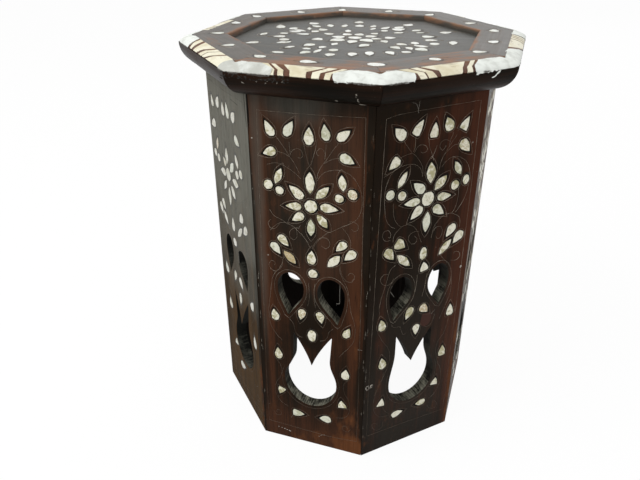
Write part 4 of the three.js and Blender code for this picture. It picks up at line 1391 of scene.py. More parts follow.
# %% [markdown]
# ## Filler on the corners
# The filler runs from the last boundary of a side around the corner to the first boundary of the
# next one. It follows the band's section, rises and sinks in lumps, laps over the rim, and ends in
# an uneven lip with a few drips.
# %% The corner caps
CAP_STATIONS = 22
CAP_SECTION_SHARES = (*BAND_SECTION_SHARES, (1.0, 0.02))
CAP_LUMP = 0.0004
CAP_LUMP_LENGTH = 0.012
CAP_OVERLAP = 0.0014
CAP_LIP = 0.0011
CAP_LIP_LENGTH = 0.007
CAP_THICKNESS = 0.0016
CAP_ROUNDING = 0.0012
CAP_ROUNDING_REACH = 0.004
CAP_PILLOW = 0.0007
CAP_BULGE = 0.0022
LIP_MEAN_SHARE = 1.2
LIP_LEAN_SHARE = 0.25
LIP_FALL_SHARES = (0.6, 1, 0.7)
CAP_BACK_SHARE = 1.5
END_GRIME_SHARE = 0.35
RIM_GRIME_SHARE = 0.5
NOSE_GRIME_SHARE = 0.3
# Along the lip the darkening is grime together with a painted shade under the overhang.
LIP_GRIME_AND_SHADE_SHARE = 0.85
FILLER_SHARP_DEGREES = 70


def cap_stations(number, out):
    """Across values of the stations on this side and on the next, one row for each apothem."""
    share = np.linspace(0, 1, CAP_STATIONS)[None, :]
    last = boundary_line(band_rows(number)[1][-1], len(BAND_SECTION_SHARES))
    first = boundary_line(band_rows(number % SIDES + 1)[1][0], len(BAND_SECTION_SHARES))
    bulge = CAP_BULGE * np.sin(np.linspace(0, np.pi, len(out)))[:, None]
    last = np.append(last, last[-1])[:, None] - bulge
    first = np.append(first, first[-1])[:, None] + bulge
    corner = half_side(out)[:, None]
    return last + share * (corner - last), -corner + share * (first + corner)


def drip_depth(number, across):
    """How far the lip hangs down: a bell curve around each drip."""
    depth = np.zeros_like(across)
    for place, length, width in DRIPS_OF_CORNER.get(number, ()):
        depth += length * np.exp(-((across - place * half_side(band_apothem)) / width) ** 2)
    return depth


def cap_skin(number, across, seed):
    """The upper face of the filler, the lip and the back: one ring for every station."""
    line = section_points(CAP_SECTION_SHARES)
    away = section_normals(line)
    dice = np.random.default_rng(seed)
    run = np.arange(len(line))[:, None] * (nose_apothem - band_apothem) / len(line)
    lumps = CAP_LUMP * ripple(dice, across, run, CAP_LUMP_LENGTH) + BONE_RISE
    lumps += CAP_PILLOW * np.sin(np.linspace(0, np.pi, len(line)))[:, None]
    from_corner = half_side(line[:, 0])[:, None] - np.abs(across)
    lumps -= CAP_ROUNDING * np.exp(-(from_corner / CAP_ROUNDING_REACH) ** 2)
    out = line[:, :1] + away[:, :1] * lumps
    up = line[:, 1:] + away[:, 1:] * lumps
    lap = CAP_OVERLAP * ripple(dice, across[:1], 0, CAP_LUMP_LENGTH) + CAP_OVERLAP / 2
    out[0] -= lap[0]
    up[0] = height + np.minimum(lumps[0], BONE_RISE)
    lip = CAP_LIP * (LIP_MEAN_SHARE + ripple(dice, across[-1:], 0, CAP_LIP_LENGTH))
    lip += drip_depth(number, across[-1:])
    low_out = out[-1:] - LIP_LEAN_SHARE * lip
    low = np.stack([low_out + CAP_LIP / 3, low_out, low_out - CAP_THICKNESS])
    low_up = np.stack([up[-1:] - share * lip for share in LIP_FALL_SHARES])
    back_out = np.stack([out[-1:] - CAP_THICKNESS * CAP_BACK_SHARE, out[:1] + CAP_THICKNESS])
    back_up = np.stack([up[-1:] + CAP_THICKNESS / 2, up[:1] - CAP_THICKNESS])
    all_out = np.concatenate([out, low[:, 0], back_out[:, 0]])
    all_up = np.concatenate([up, low_up[:, 0], back_up[:, 0]])
    extra = len(all_out) - len(across)
    all_across = np.concatenate([across, np.repeat(across[-1:], extra - 1, axis=0), across[:1]])
    return all_across, all_out, all_up


def corner_cap(number):
    """One closed run of rings over both sides of a corner."""
    out = section_points(CAP_SECTION_SHARES)[:, 0]
    here, there = cap_stations(number, out)
    rings = [on_side(number, *cap_skin(number, here, number)),
             on_side(number + 1, *cap_skin(number, there, number + SIDES))]
    middle = (rings[0][:, -1:] + rings[1][:, :1]) / 2
    both = np.concatenate([rings[0][:, :-1], middle, rings[1][:, 1:]], axis=1)
    points, faces = closed_run(np.moveaxis(both, 1, 0))
    at_border = np.zeros(both.shape[:2])
    at_border[:, [0, -1]] = END_GRIME_SHARE
    at_border[0] = RIM_GRIME_SHARE
    at_border[len(CAP_SECTION_SHARES) - 2] = NOSE_GRIME_SHARE
    along = np.concatenate([here[-1, :-1], [half_side(nose_apothem)], there[-1, 1:]])
    clean_drips = np.exp(-drip_depth(number, along) / CAP_LIP)
    at_border[len(CAP_SECTION_SHARES) - 1:] = LIP_GRIME_AND_SHADE_SHARE * clean_drips
    extra = {"grime_and_shade": at_border.T.ravel(),
             "grey_cast": np.full(at_border.size, GREY_CAST_SHARE_OF_CORNER.get(number, 0))}
    piece = add_piece(f"filler_corner_{number}", points, faces, white_filler, FILLER_SHARP_DEGREES,
                      extra, "white_filler")
    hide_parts(f"corner_cap_{number}")
    return piece


caps = [corner_cap(number) for number in SIDE_NUMBERS]
print("filler on", len(caps), "corners")

# %% [markdown]
# ## The moulding
# A quarter round was planed by hand and mitred at the corners. Its polish is almost black, with
# scrapes along it, so its light runs in uneven lines.
# %% Planed quarter rounds
MOULDING_POINTS = 14
MOULDING_STATIONS = 36
MOULDING_RIPPLE = 0.00022
MOULDING_RIPPLE_LENGTH = 0.035
MOULDING_PATCH_LENGTH = 0.11
MITRE_GAP = 0.0002
MOULDING_BACK = 0.003
MOULDING_GRAIN_STEP = np.array([0, 0, 0.9])
MOULDING_WARMTH_SHARE = 0.4
MOULDING_PATCH_SHARE = 0.9


def moulding_line():
    """The quarter ellipse from the foot to the nose."""
    turn = np.linspace(0, np.pi / 2, MOULDING_POINTS)
    out = moulding_low.x + (nose_apothem - moulding_low.x) * np.sin(turn)
    up = band_foot - (band_foot - visible_height) * np.cos(turn)
    return np.stack([out, up], axis=-1)


def mitred_run(number, line, stations, dice, depth, length):
    """Points of a section line at stations along a side, from mitre to mitre, with a ripple."""
    away = section_normals(line[::-1])[::-1]
    share = np.linspace(-1, 1, stations)[:, None]
    across = share * (half_side(line[:, 0]) - MITRE_GAP)
    run = np.linalg.norm(line - line[0], axis=1)
    lift = depth * ripple(dice, across, run[None, :] * 3, length) * (1 - share ** 8)
    return across, line[:, 0] + away[:, 0] * lift, line[:, 1] + away[:, 1] * lift


def moulding_piece(number):
    """The rippled face, closed at the back by two more points of the section."""
    dice = np.random.default_rng(number + 3 * SIDES)
    across, out, up = mitred_run(number, moulding_line(), MOULDING_STATIONS, dice, MOULDING_RIPPLE,
                                 MOULDING_RIPPLE_LENGTH)
    back_out = np.stack([out[:, -1] - MOULDING_BACK, out[:, 0]], axis=-1)
    back_up = np.stack([up[:, -1] + MOULDING_BACK / 2, up[:, -1] + MOULDING_BACK / 2], axis=-1)
    across = np.concatenate([across, across[:, -1:], across[:, :1]], axis=1)
    rings = on_side(number, across, np.concatenate([out, back_out], axis=1),
                    np.concatenate([up, back_up], axis=1))
    points, faces = closed_run(rings)
    local = from_side(number, points)[:, [1, 2, 0]]
    patches = ripple(dice, local[:, 2], local[:, 1] * 2, MOULDING_PATCH_LENGTH)
    extra = {"grain": local + number * MOULDING_GRAIN_STEP, "wear": np.zeros(len(points)),
             "warmth": MOULDING_WARMTH_SHARE + MOULDING_PATCH_SHARE * patches}
    piece = add_piece(f"quarter_round_{number}", points, faces, moulding_wood, attributes=extra,
                      slot="moulding_wood")
    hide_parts(f"edge_moulding_{number}")
    return piece


mouldings = [moulding_piece(number) for number in SIDE_NUMBERS]
print("mouldings:", len(mouldings))

# %% [markdown]
# ## The rim boards
# Eight flat boards frame the tray. Their inner arris is rounded and rubbed to orange by hands and
# trays, and the front boards are rubbed along their outer edge too. Grain runs along each board,
# and the joints at the corners are open by a hair.
# %% Rim boards with a worn arris
RIM_ARRIS = 0.0016
RIM_STATIONS = 40
RIM_RIPPLE = 0.00025
RIM_RIPPLE_LENGTH = 0.03
RIM_WEAR_REACH = 0.009
RIM_FLAT_SHARES = (0.12, 0.3, 0.5, 0.7, 0.88, 1.0)
RIM_WEAR_SHARES = (0.75, 0.88, 0.86, 0.80, 0.77, 0.77, 0.80, 0.80)
RIM_FLAT_WEAR_SHARES = (0.66, 0.62, 0.3, 0.25, 0.2, 0.2, 0.3, 0.42)
RIM_FLAT_START_SHARE = 0.72
RIM_FLAT_GAIN_SHARE = 0.42
RIM_WEAR_MEAN_SHARE = 0.92
RIM_WEAR_PATCH_SHARE = 0.25
RIM_WARMTH_SHARE = 0.25
RIM_GRAIN_STEP = np.array([0, 0, 0.7])
TOP_STRETCH_SHARE = 0.4


def rim_line():
    """Up the tray's wall, around the inner arris, and across the flat to the band."""
    turn = np.linspace(0, np.pi / 2, 5)
    arris_out = rim_low.x + RIM_ARRIS * (1 - np.cos(turn))
    arris_up = rim_high.z - RIM_ARRIS * (1 - np.sin(turn))
    flat = rim_low.x + RIM_ARRIS + np.array(RIM_FLAT_SHARES) * (band_apothem - rim_low.x - RIM_ARRIS)
    out = np.concatenate([[rim_low.x, rim_low.x], arris_out, flat])
    up = np.concatenate([[rim_low.z, tray_level], arris_up, np.full(len(flat), rim_high.z)])
    return np.stack([out, up], axis=-1)


def rim_piece(number):
    """One mitred board: the rippled line and two points that close it underneath."""
    dice = np.random.default_rng(number + 5 * SIDES)
    line = rim_line()
    across, out, up = mitred_run(number, line, RIM_STATIONS, dice, RIM_RIPPLE, RIM_RIPPLE_LENGTH)
    up[:, 0] = rim_low.z
    across = np.concatenate([across, across[:, -1:]], axis=1)
    out = np.concatenate([out, out[:, -1:]], axis=1)
    up = np.concatenate([up, np.full((RIM_STATIONS, 1), rim_low.z)], axis=1)
    points, faces = closed_run(on_side(number, across, out, up))
    local = from_side(number, points)
    from_arris = np.abs(local[:, 1] - rim_low.x) + np.abs(local[:, 2] - rim_high.z)
    outwards = np.clip((local[:, 1] - rim_low.x) / (band_apothem - rim_low.x), 0, 1)
    wear = np.maximum(RIM_WEAR_SHARES[number - 1] * np.exp(-from_arris / RIM_WEAR_REACH),
                      RIM_FLAT_WEAR_SHARES[number - 1]
                      * (RIM_FLAT_START_SHARE + RIM_FLAT_GAIN_SHARE * outwards))
    patches = ripple(dice, local[:, 0], local[:, 1] * TOP_STRETCH_SHARE, RIM_RIPPLE_LENGTH)
    wear *= RIM_WEAR_MEAN_SHARE + RIM_WEAR_PATCH_SHARE * patches
    extra = {"grain": local[:, [1, 2, 0]] + number * RIM_GRAIN_STEP, "wear": np.clip(wear, 0, 1),
             "warmth": np.full(len(points), RIM_WARMTH_SHARE)}
    piece = add_piece(f"rim_{number}", points, faces, top_wood, attributes=extra, slot="top_wood")
    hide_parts(f"rim_board_{number}")
    return piece


rims = [rim_piece(number) for number in SIDE_NUMBERS]
print("rim boards:", len(rims))

# %% [markdown]
# ## The tray's floor
# The field board is one round of rings from the middle to its eight-sided edge, with a rebate that the rim
# boards lie in. Its face is rippled, and grey with old polish.
# %% The field board
FIELD_RING_SHARES = np.linspace(0.04, 1, 26)
FIELD_RIPPLE = 0.0003
FIELD_RIPPLE_LENGTH = 0.05
FIELD_ARRIS = 0.0003
POINTS_PER_SIDE = 12


def octagon_ring(apothem):
    """Points around an octagon, evenly along each side, as x and y."""
    share = np.arange(POINTS_PER_SIDE) / POINTS_PER_SIDE * 2 - 1
    sides = [on_side(number, share * half_side(apothem), apothem, 0)[:, :2] for number in SIDE_NUMBERS]
    return np.concatenate(sides)


def field_piece():
    """Rings over the floor, over the rebate and down the edge, and a middle point on each face."""
    dice = np.random.default_rng(7 * SIDES)
    rebate = rim_low.z
    steps = [(share * (tray_apothem - FIELD_ARRIS), tray_level) for share in FIELD_RING_SHARES]
    steps += [(tray_apothem - FIELD_ARRIS, rebate), (field_high.x, rebate), (field_high.x, field_low.z)]
    rings = []
    for apothem, level in steps:
        ring = octagon_ring(apothem)
        waves = ripple(dice, ring[:, 0], ring[:, 1] * TOP_STRETCH_SHARE, FIELD_RIPPLE_LENGTH)
        lift = FIELD_RIPPLE * waves
        held = 1 if level < tray_level else min(1, (tray_apothem - apothem) / RIM_WEAR_REACH)
        level_at = level + (0 if level < tray_level else lift * held)
        rings.append(np.column_stack([ring, np.broadcast_to(level_at, len(ring))]))
    points = np.concatenate(rings)
    around = len(rings[0])
    body = grid_faces(len(rings), around, True)
    middles = np.array([[0, 0, tray_level], [0, 0, field_low.z]])
    first = np.arange(around)
    last = (len(rings) - 1) * around + first
    top = np.stack([first, np.roll(first, -1), np.full(around, len(points))], axis=-1)
    under = np.stack([last, np.roll(last, -1), np.full(around, len(points) + 1)], axis=-1)
    points = np.concatenate([points, middles])
    extra = {"grain": points[:, [1, 2, 0]], "wear": np.zeros(len(points)), "warmth": np.zeros(len(points))}
    piece = add_piece("tray_floor", points, [body, top, under], tray_wood, attributes=extra,
                      slot="top_wood")
    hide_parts("field_board")
    return piece


tray_floor = field_piece()
print("tray floor:", len(tray_floor.data.polygons), "faces")

# %% [markdown]
# ## Pearl on the top
# A flower in the middle, a ring of single pieces, sprays towards the corners, and one or two
# pieces on every rim board. Places and sizes were read off the photograph as hundredths of the
# tray's apothem, x to the right and y away from the reader.
# %% Tables of the pearl on the top
TRAY_PEARL_HUNDREDTHS = [
    ("disc", 0, -1, 12, 10, 0), ("drop", 0, 14, 10, 9, 90), ("drop", 12, 9, 11, 9, 35),
    ("drop", 19, 0, 10, 6, 0), ("drop", 13, -9, 14, 12, -35), ("drop", 2, -18, 13, 9, 270),
    ("drop", -12, -15, 14, 12, 230), ("drop", -15, -2, 12, 10, 180), ("drop", -11, 11, 10, 9, 135),
    ("leaf", -14, 26, 12, 6, 105), ("drop", 12, 22, 7, 7, 60), ("drop", 29, 8, 10, 9, 20),
    ("drop", 28, -9, 10, 7, -60), ("drop", 15, -29, 12, 9, 250), ("leaf", -9, -31, 10, 6, 265),
    ("drop", -29, -17, 10, 10, 215), ("drop", -27, 8, 10, 7, 160), ("leaf", -37, 46, 14, 7, 115),
    ("leaf", -24, 49, 13, 6, 95), ("drop", -11, 54, 11, 9, 100), ("drop", 2, 56, 10, 6, 90),
    ("leaf", 5, 43, 11, 4, 80), ("drop", 15, 51, 13, 7, 70), ("disc", 17, 37, 7, 7, 90),
    ("leaf", 26, 57, 12, 8, 60), ("drop", 28, 48, 13, 12, 45), ("leaf", 31, 32, 10, 7, 40),
    ("leaf", 44, 48, 11, 7, 55), ("leaf", 49, 38, 8, 4, 30), ("drop", -38, 25, 11, 8, 130),
    ("drop", -49, 39, 11, 7, 150), ("drop", -56, 52, 12, 9, 140), ("disc", -65, 22, 10, 8, 90),
    ("leaf", -51, 26, 12, 4, 110), ("leaf", -56, 15, 14, 6, 160), ("drop", -42, 15, 8, 8, 150),
    ("drop", -59, 9, 12, 8, 175), ("drop", -48, 0, 12, 7, 190), ("disc", -65, -2, 8, 7, 0),
    ("drop", -64, -16, 11, 9, 200), ("disc", -55, -27, 9, 9, 0), ("drop", -53, -39, 9, 7, 225),
    ("leaf", -48, -36, 8, 4, 250), ("drop", -28, -41, 11, 9, 240), ("drop", -15, -46, 8, 7, 260),
    ("leaf", -40, -53, 10, 6, 235), ("disc", -25, -55, 7, 6, 0), ("leaf", -14, -60, 15, 5, 265),
    ("drop", -22, -68, 11, 8, 250), ("disc", -3, -53, 9, 8, 90), ("drop", -1, -70, 10, 8, 275),
    ("drop", 15, -63, 12, 8, 280), ("drop", 27, -56, 14, 7, 285), ("drop", 42, -49, 12, 8, 305),
    ("disc", 53, -42, 8, 7, 0), ("drop", 42, -29, 11, 8, 320), ("drop", 53, -28, 10, 6, 300),
    ("drop", 63, -29, 12, 10, 325), ("drop", 44, -15, 10, 8, 340), ("leaf", 60, -17, 13, 7, 350),
    ("leaf", 53, -7, 11, 7, 290), ("disc", 69, -5, 9, 8, 90), ("drop", 64, 9, 11, 7, 15),
    ("drop", 59, 23, 11, 10, 20), ("drop", 83, 3, 15, 7, 275), ("drop", 71, 47, 12, 9, 45),
    ("drop", 32, 73, 12, 10, 75), ("drop", -16, 72, 12, 9, 95), ("drop", -80, 28, 18, 9, 115),
    ("leaf", -81, -10, 12, 6, 265), ("drop", -76, -47, 12, 8, 225), ("disc", -42, -74, 10, 6, 0),
    ("drop", 79, -56, 12, 9, 300),
]
RIM_PEARL_HUNDREDTHS = [
    ("drop", -2, -115, 13, 9, 0), ("disc", 45, -108, 13, 10, 0), ("drop", -42, -110, 11, 8, 150),
    ("drop", -80, -83, 11, 8, 215), ("disc", 81, -79, 9, 8, 0), ("drop", 109, -45, 11, 8, 20),
    ("drop", 116, -4, 11, 8, 60), ("drop", 112, 44, 12, 8, 100), ("drop", 89, 73, 11, 8, 40),
    ("drop", -110, -42, 12, 8, 200), ("drop", -116, 8, 12, 9, 120), ("drop", -112, 45, 12, 8, 150),
    ("drop", -80, 82, 12, 8, 130), ("drop", -44, 108, 12, 8, 100), ("drop", 3, 115, 12, 8, 90),
    ("drop", 46, 107, 12, 8, 70),
]


def top_place(level_of_face):
    """A function that carries x, y and a level above a face of the top to the frame."""
    return lambda x, y, level: np.stack([x, y, np.broadcast_to(level_of_face + level, np.shape(x))], axis=-1)


def read_hundredths(rows):
    """Turns a table of the top into arrays in metres."""
    shares = [(row[0], *(value / 100 for value in row[1:5]), *row[5:]) for row in rows]
    return read_rows(shares, 1, tray_apothem, tray_apothem)


set_pearl("tray", read_hundredths(TRAY_PEARL_HUNDREDTHS), top_place(tray_level), 21, sheen_grey_mastic, top_pearl)
set_pearl("rims", read_hundredths(RIM_PEARL_HUNDREDTHS), top_place(rim_high.z), 22, sheen_grey_mastic, top_pearl)
print("pearl pieces on the top:", len(TRAY_PEARL_HUNDREDTHS) + len(RIM_PEARL_HUNDREDTHS))

# %% [markdown]
# ## Knocks, scratches and a repair
# Small damage tells the age of the stool: chips on the arris between the two front sides, short
# scratches that show pale wood, fine cracks on the grey left side, a plug of red wood where a
# piece of pearl was lost, two ends of wire that have come loose at the holes, splashes of filler
# and dust on the moulding, and a joint that has opened at its top. They are set like the inlay,
# only thinner.
# %% Damage on the seen sides
CHIP_RISE = 0.00008
CHIP_ROUGHNESS_SHARE = 0.5
DUST_SEED = 9
SPLIT_SEED = 6
PLUG_SEED = 5
ARRIS_CHIPS = 15
ARRIS_CHIP_RANGES = ((0.02, 0.98), (-0.006, 0.006), (0.006, 0.06), (0.0014, 0.0034))
ARRISES_OF_SIDE = {1: (0.488, -0.484), 2: (-0.49,)}
CHIP_ROWS_OF_SIDE = {
    1: [("stub", -0.350, 0.033, 0.016, 0.009, 20), ("disc", -0.318, 0.031, 0.014, 0.008, 0),
        ("stub", -0.290, 0.030, 0.018, 0.010, 170), ("disc", -0.262, 0.028, 0.012, 0.010, 0),
        ("drop", -0.235, 0.026, 0.026, 0.012, 340), ("disc", -0.47, 0.90, 0.012, 0.008, 0),
        ("disc", -0.38, 0.605, 0.010, 0.012, 0)],
    2: [("stub", -0.478, 0.246, 0.030, 0.009, 95), ("stub", -0.462, 0.2515, 0.028, 0.009, 15),
        ("stub", -0.447, 0.245, 0.028, 0.009, 95), ("stub", -0.462, 0.2390, 0.026, 0.008, 10),
        ("stub", -0.430, 0.248, 0.030, 0.011, 100), ("disc", -0.418, 0.2505, 0.020, 0.014, 0),
        ("stub", -0.422, 0.243, 0.022, 0.008, 20), ("disc", 0.44, 0.547, 0.022, 0.026, 0),
        ("disc", 0.40, 0.880, 0.012, 0.012, 0), ("disc", -0.33, 0.655, 0.012, 0.010, 0)],
}
SCRATCH_SHARES_OF_SIDE = {
    1: [[(0.07, 0.034), (0.10, 0.041), (0.13, 0.043)], [(-0.215, 0.078), (-0.20, 0.088)],
        [(0.43, 0.372), (0.47, 0.372)], [(-0.10, 0.69), (-0.085, 0.70)]],
    2: [[(-0.20, 0.994), (-0.165, 0.990), (-0.145, 0.978)],
        [(-0.135, 0.998), (-0.145, 0.978), (-0.14, 0.970)], [(0.17, 0.424), (0.21, 0.435)]],
}
LEFT_CROP_PIXELS = (200, 60, 7.83)
LEFT_CRACK_PIXELS = [
    [(340, 255), (352, 400), (365, 525)], [(235, 305), (265, 330), (295, 355)],
    [(65, 145), (95, 168)], [(172, 725), (190, 775), (212, 822)],
]
FORKED_CRACK_SHARES = [(0.459, 0.985), (0.466, 0.957), (0.478, 0.93)]
corner_crack, *other_cracks = picked_lines(8, LEFT_CROP_PIXELS, LEFT_CRACK_PIXELS)
CRACK_SHARES_OF_SIDE = {8: [corner_crack, FORKED_CRACK_SHARES, *other_cracks]}
LOOSE_WIRE_SHARES_OF_SIDE = {
    1: [[(0.257, 0.558), (0.256, 0.545), (0.255, 0.530), (0.256, 0.505), (0.252, 0.500), (0.225, 0.498)]],
    2: [[(-0.268, 0.548), (-0.285, 0.535), (-0.240, 0.513)]],
}
FRONT_EDGE_CROP_PIXELS = (200, 50, 13.07)
FRONT_FLAKE_PIXELS = [(557, 427), (740, 410), (870, 422), (1010, 430), (1080, 415)]
RIGHT_EDGE_CROP_PIXELS = (450, 40, 18.28)
RIGHT_FLAKE_PIXELS = [(870, 585), (825, 642), (785, 672)]
FLAKE_DEPTH = 0.0016


def picked_flakes(number, crop, picks):
    """Middles of flakes on a moulding, as shares of the panel's width and of the full height."""
    return picked_shares(number, crop, picks, nose_apothem - FLAKE_DEPTH, (panel_width, height))


front_flakes = picked_flakes(1, FRONT_EDGE_CROP_PIXELS, FRONT_FLAKE_PIXELS)
right_flakes = picked_flakes(2, RIGHT_EDGE_CROP_PIXELS, RIGHT_FLAKE_PIXELS)
FLAKES_OF_MOULDING = {
    1: [("leaf", *front_flakes[0], 0.028, 0.009, -29), ("disc", *front_flakes[1], 0.013, 0.008, 20),
        ("leaf", *front_flakes[2], 0.040, 0.008, 43), ("disc", *front_flakes[3], 0.010, 0.006, 45),
        ("leaf", *front_flakes[4], 0.018, 0.006, 20), ("stub", 0.400, 0.950, 0.110, 0.014, -84),
        ("stub", 0.425, 0.939, 0.050, 0.016, 0), ("leaf", 0.240, 0.944, 0.024, 0.010, -10)],
    2: [("leaf", *right_flakes[0], 0.050, 0.017, 41), ("leaf", *right_flakes[1], 0.034, 0.014, 52),
        ("leaf", *right_flakes[2], 0.034, 0.012, 9), ("disc", 0.295, 0.983, 0.020, 0.014, 0),
        ("disc", 0.330, 0.984, 0.024, 0.016, 30), ("disc", 0.368, 0.984, 0.024, 0.014, 0)],
}
DUST_FLAKES = 90
DUST_RANGES = ((-0.60, -0.08), (0.972, 0.986), (0.005, 0.022), (0.003, 0.010), (-40, 40))
SPLIT_ROW = ("drop", -0.491, 0.958, 0.300, 0.016, 271)
PLUG_ROW = ("plug", 0.112, 0.411, 0.150, 0.122, 268)


def scar_finish(name, dark, light):
    """Raw pale wood with dust in it."""
    recipe = Recipe(name)
    clouds = recipe.noise(recipe.place(), 700, 3, 0.6)
    colour = recipe.mix(recipe.step(clouds, 0.35, 0.65), dark, light)
    return recipe.finish(colour, 0.7 + 0.2 * clouds, None, Specular_IOR_Level=0.2)


def arris_chip_rows(seed, across):
    """Small upright chips at random heights along one edge of a side."""
    dice = np.random.default_rng(seed)
    columns = [dice.uniform(low, high, ARRIS_CHIPS) for low, high in ARRIS_CHIP_RANGES]
    return [("stub", across + aside, up, long, wide, 90) for up, aside, long, wide in zip(*columns)]


def dust_rows(seed):
    """Flakes of dust at random places on a moulding, under the filler at its left end."""
    dice = np.random.default_rng(seed)
    columns = [dice.uniform(low, high, DUST_FLAKES) for low, high in DUST_RANGES]
    return [("disc", *row) for row in zip(*columns)]


def set_chips(name, rows, place, finish, seed, up=visible_height):
    """Thin rough solids of one finish."""
    shapes, *placed = read_rows(rows, 1, panel_width, up)[:5]
    dice = np.random.default_rng(seed)
    cut = lay_out(cut_outlines(shapes, CUTS_PER_PEARL, CHIP_ROUGHNESS_SHARE, dice), *placed)
    add_piece(name, *inlay_solids(cut, place, CHIP_RISE, 0), finish)


def set_lines(name, lines_of_side, finish):
    """Low ridges along smooth lines on each side, from stops that are given as shares."""
    size = (panel_width, visible_height)
    for number, lines in lines_of_side.items():
        smooth = [smooth_line(np.array(stops) * size, LINE_STEP) for stops in lines]
        points, faces = gather(wire_lines(smooth, side_place(number)))
        add_piece(f"{name}_{number}", points, faces, finish, WIRE_SHARP_DEGREES)


def moulding_place(number):
    """A function that carries across, up and a level above the moulding's face to the frame."""
    def place(across, up, level):
        share = np.clip((band_foot - up) / (band_foot - visible_height), 0, 1)
        out = moulding_low.x + (nose_apothem - moulding_low.x) * np.sqrt(1 - share ** 2)
        return on_side(number, across, out + level, up)
    return place


scar = scar_finish("scar", (0.20, 0.175, 0.145), (0.62, 0.58, 0.51))
old_scar = scar_finish("old_scar", (0.08, 0.07, 0.055), (0.36, 0.33, 0.28))
dust = mastic_finish("dust", (0.016, 0.015, 0.013), (0.085, 0.083, 0.07), 0.2)
plug_wood = wood("plug_wood", (0.036, 0.011, 0.006), (0.092, 0.027, 0.014), PANEL_WORN, 0.45, 0.1)
for number, rows in CHIP_ROWS_OF_SIDE.items():
    set_chips(f"chips_{number}", rows, side_place(number), scar, number)
    worn = [row for across in ARRISES_OF_SIDE[number] for row in arris_chip_rows(number, across)]
    set_chips(f"arris_chips_{number}", worn, side_place(number), old_scar, number)
set_lines("scratches", SCRATCH_SHARES_OF_SIDE, scar)
set_lines("loose_wire", LOOSE_WIRE_SHARES_OF_SIDE, dusty_wire)
set_lines("cracks", CRACK_SHARES_OF_SIDE, mastic)
for number, rows in FLAKES_OF_MOULDING.items():
    splash = old_scar if number == 1 else white_filler
    set_chips(f"filler_flakes_{number}", rows, moulding_place(number), splash, number, height)
set_chips("dust_flakes", dust_rows(DUST_SEED), moulding_place(1), dust, DUST_SEED, height)
set_chips("split", [SPLIT_ROW], side_place(1), mastic, SPLIT_SEED)
set_chips("pearl_plug", [PLUG_ROW], side_place(2), plug_wood, PLUG_SEED)
print("chips on", len(CHIP_ROWS_OF_SIDE), "sides, scratches on", len(SCRATCH_SHARES_OF_SIDE))

# %% [markdown]
# ## Wire on the top
# The pearl on the tray and the rims is ringed with wire as on the sides, and every piece on the
# rims lies in a lozenge of wire.
# %% Rings and lozenges
LOZENGE_LONG = 0.030
LOZENGE_WIDE = 0.017
LOZENGE_POINTS = 8


def lozenges(rows):
    """Four-sided rings around each piece, the long way along its rim board."""
    middles = np.array([row[1:3] for row in rows]) / 100 * tray_apothem
    turn = np.round(np.arctan2(middles[:, 1], middles[:, 0]) / TURN) * TURN + np.pi / 2
    share = np.arange(LOZENGE_POINTS) / LOZENGE_POINTS
    corners = np.array([(1, 0), (0, 1), (-1, 0), (0, -1), (1, 0)]) * (LOZENGE_LONG / 2, LOZENGE_WIDE / 2)
    legs = [corners[leg] + share[:, None] * (corners[leg + 1] - corners[leg]) for leg in range(4)]
    ring = np.concatenate(legs)
    along = np.stack([np.cos(turn), np.sin(turn)], axis=-1)[:, None]
    aside = np.stack([-np.sin(turn), np.cos(turn)], axis=-1)[:, None]
    return middles[:, None] + ring[None, :, :1] * along + ring[None, :, 1:] * aside


set_wire("tray", [], [pearl_rings(read_hundredths(TRAY_PEARL_HUNDREDTHS))], top_place(tray_level))
set_wire("rims", [], [lozenges(RIM_PEARL_HUNDREDTHS)], top_place(rim_high.z))
print("wire on the top")

# %% [markdown]
# ## The inside
# Corner blocks and cleats keep their CAD solids, because a plain sawn block is what they are.
# %% Raw wood on the hidden blocks
for node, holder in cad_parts.items():
    if node.startswith(("corner_block", "top_cleat")):
        holder.data.materials.clear()
        holder.data.materials.append(inner_wood)
print("hidden blocks finished")

# %% [markdown]
# ## Floor, light and camera
# The photograph was cut out onto white, so the floor and the world are white to the camera and in
# reflections, and only a trace of the stool's shadow is kept. In the stool's far corner a painted shadow
# makes the floor near black, as the drops in the front show it.
# %% Floor and world
FLOOR_HALF = 6.0
FLOOR_DROP = 0.0004
SHADE_MIDDLE = (-0.048, 0.112)
SHADE_RADII = (0.040, 0.044)
SHADE_EDGE_SHARE = 0.45
WHITE = (1, 1, 1, 1)
PALE_FLOOR = (0.8, 0.8, 0.8, 1)
SHADOW_FLOOR_COLOUR = (0.02, 0.02, 0.02, 1)
GLOW_STRENGTH = 1.02
GLOW_SHARE = 0.93
SKY_STRENGTH = 0.55


def white_rays(recipe):
    """1 for the rays of the camera, of reflections and through glass, and 0 for all others."""
    rays = [recipe.node("ShaderNodeLightPath", output=f"Is {kind} Ray")
            for kind in ("Camera", "Glossy", "Transmission")]
    return rays[0] + rays[1] + rays[2]


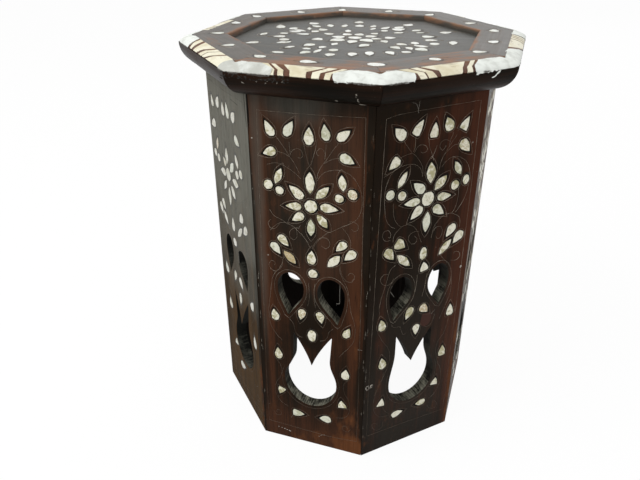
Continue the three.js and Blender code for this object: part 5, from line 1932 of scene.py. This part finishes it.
def white_to_camera(name):
    """A pale floor that camera, glossy and transmission rays see as nearly even white, with a painted shadow
    in the stool's far corner.
    """
    recipe = Recipe(name)
    plain = recipe.node("ShaderNodeBsdfDiffuse", None, {"Color": PALE_FLOOR})
    glow = recipe.node("ShaderNodeEmission", None, {"Color": WHITE, "Strength": GLOW_STRENGTH})
    # A painted shadow: a near-black floor without the glow in the stool's far corner.
    spot = spot_mask(recipe, recipe.place(), SHADE_MIDDLE, SHADE_RADII, 0, 1)
    shade = recipe.step(spot, 0, SHADE_EDGE_SHARE)
    painted_shadow = recipe.node("ShaderNodeBsdfDiffuse", None, {"Color": SHADOW_FLOOR_COLOUR})
    under = recipe.node("ShaderNodeMixShader", None, {0: shade, 1: plain, 2: painted_shadow})
    lit = GLOW_SHARE - GLOW_SHARE * shade
    kept = recipe.node("ShaderNodeMixShader", None, {0: lit, 1: under, 2: glow})
    mixed = {0: white_rays(recipe), 1: plain, 2: kept}
    return recipe.output(recipe.node("ShaderNodeMixShader", None, mixed))


def add_floor():
    """A wide square just under the stool."""
    corner = np.array([[-1, -1, 0], [1, -1, 0], [1, 1, 0], [-1, 1, 0]]) * FLOOR_HALF
    corner[:, 2] = -FLOOR_DROP
    mesh = bpy.data.meshes.new("floor")
    mesh.from_pydata(corner.tolist(), [], [(0, 1, 2, 3)])
    mesh.materials.append(white_to_camera("white_floor"))
    floor = add_object("floor", mesh)


def add_world(level):
    """White to the camera and in reflections, and a plain level of light otherwise."""
    recipe = Recipe("white_world", "worlds")
    light = recipe.node("ShaderNodeBackground", None, {"Color": WHITE, "Strength": level})
    seen = recipe.node("ShaderNodeBackground", None, {"Color": WHITE, "Strength": 1.0})
    mixed = {0: white_rays(recipe), 1: light, 2: seen}
    surface = recipe.node("ShaderNodeMixShader", None, mixed)
    bpy.context.scene.world = recipe.output(surface, "ShaderNodeOutputWorld")


add_floor()
add_world(SKY_STRENGTH)
print("white floor and world")

# %% [markdown]
# ## Lamps
# Soft daylight came from the left and above. A wide weak lamp from the right opens the shadows and
# another one behind draws the light along the rim.
# %% Lamps
LAMP_TARGET = (0, 0, 0.3)
LAMPS = {"key_lamp": ((-1.2, -1.1, 2.0), 27, 1.2), "fill_lamp": ((1.6, -1.3, 1.1), 7, 1.6),
         "back_lamp": ((0.3, 2.3, 1.9), 13, 3.0)}


def add_lamp(name, place, power, size):
    """A soft square lamp that faces the stool."""
    lamp = bpy.data.lights.new(name, "AREA")
    lamp.energy = power
    lamp.size = size
    holder = add_object(name, lamp)
    holder.location = place
    way = np.array(LAMP_TARGET) - np.array(place)
    holder.rotation_euler = (math.acos(-way[2] / np.linalg.norm(way)), 0,
                             math.atan2(way[1], way[0]) - math.pi / 2)


for name, (place, power, size) in LAMPS.items():
    add_lamp(name, place, power, size)
print("soft lamps:", *LAMPS)

# %% [markdown]
# ## Camera
# The picture is taken with the camera that the curls' points were worked out with.
# %% Camera of the photograph
SENSOR_MILLIMETRES = 36.0

camera_data = bpy.data.cameras.new("camera")
camera_data.sensor_width = SENSOR_MILLIMETRES
camera_data.lens = SENSOR_MILLIMETRES * FOCAL_PIXELS / PHOTO_PIXELS[0]
camera = add_object("camera", camera_data)
camera.location = CAMERA_PLACE
camera.rotation_euler = (math.radians(90 - DOWN_DEGREES), 0, math.radians(LOOK_DEGREES - 90))
bpy.context.scene.camera = camera
bpy.context.scene.view_settings.view_transform = "Standard"
print(f"camera lens {camera_data.lens:.2f} mm")
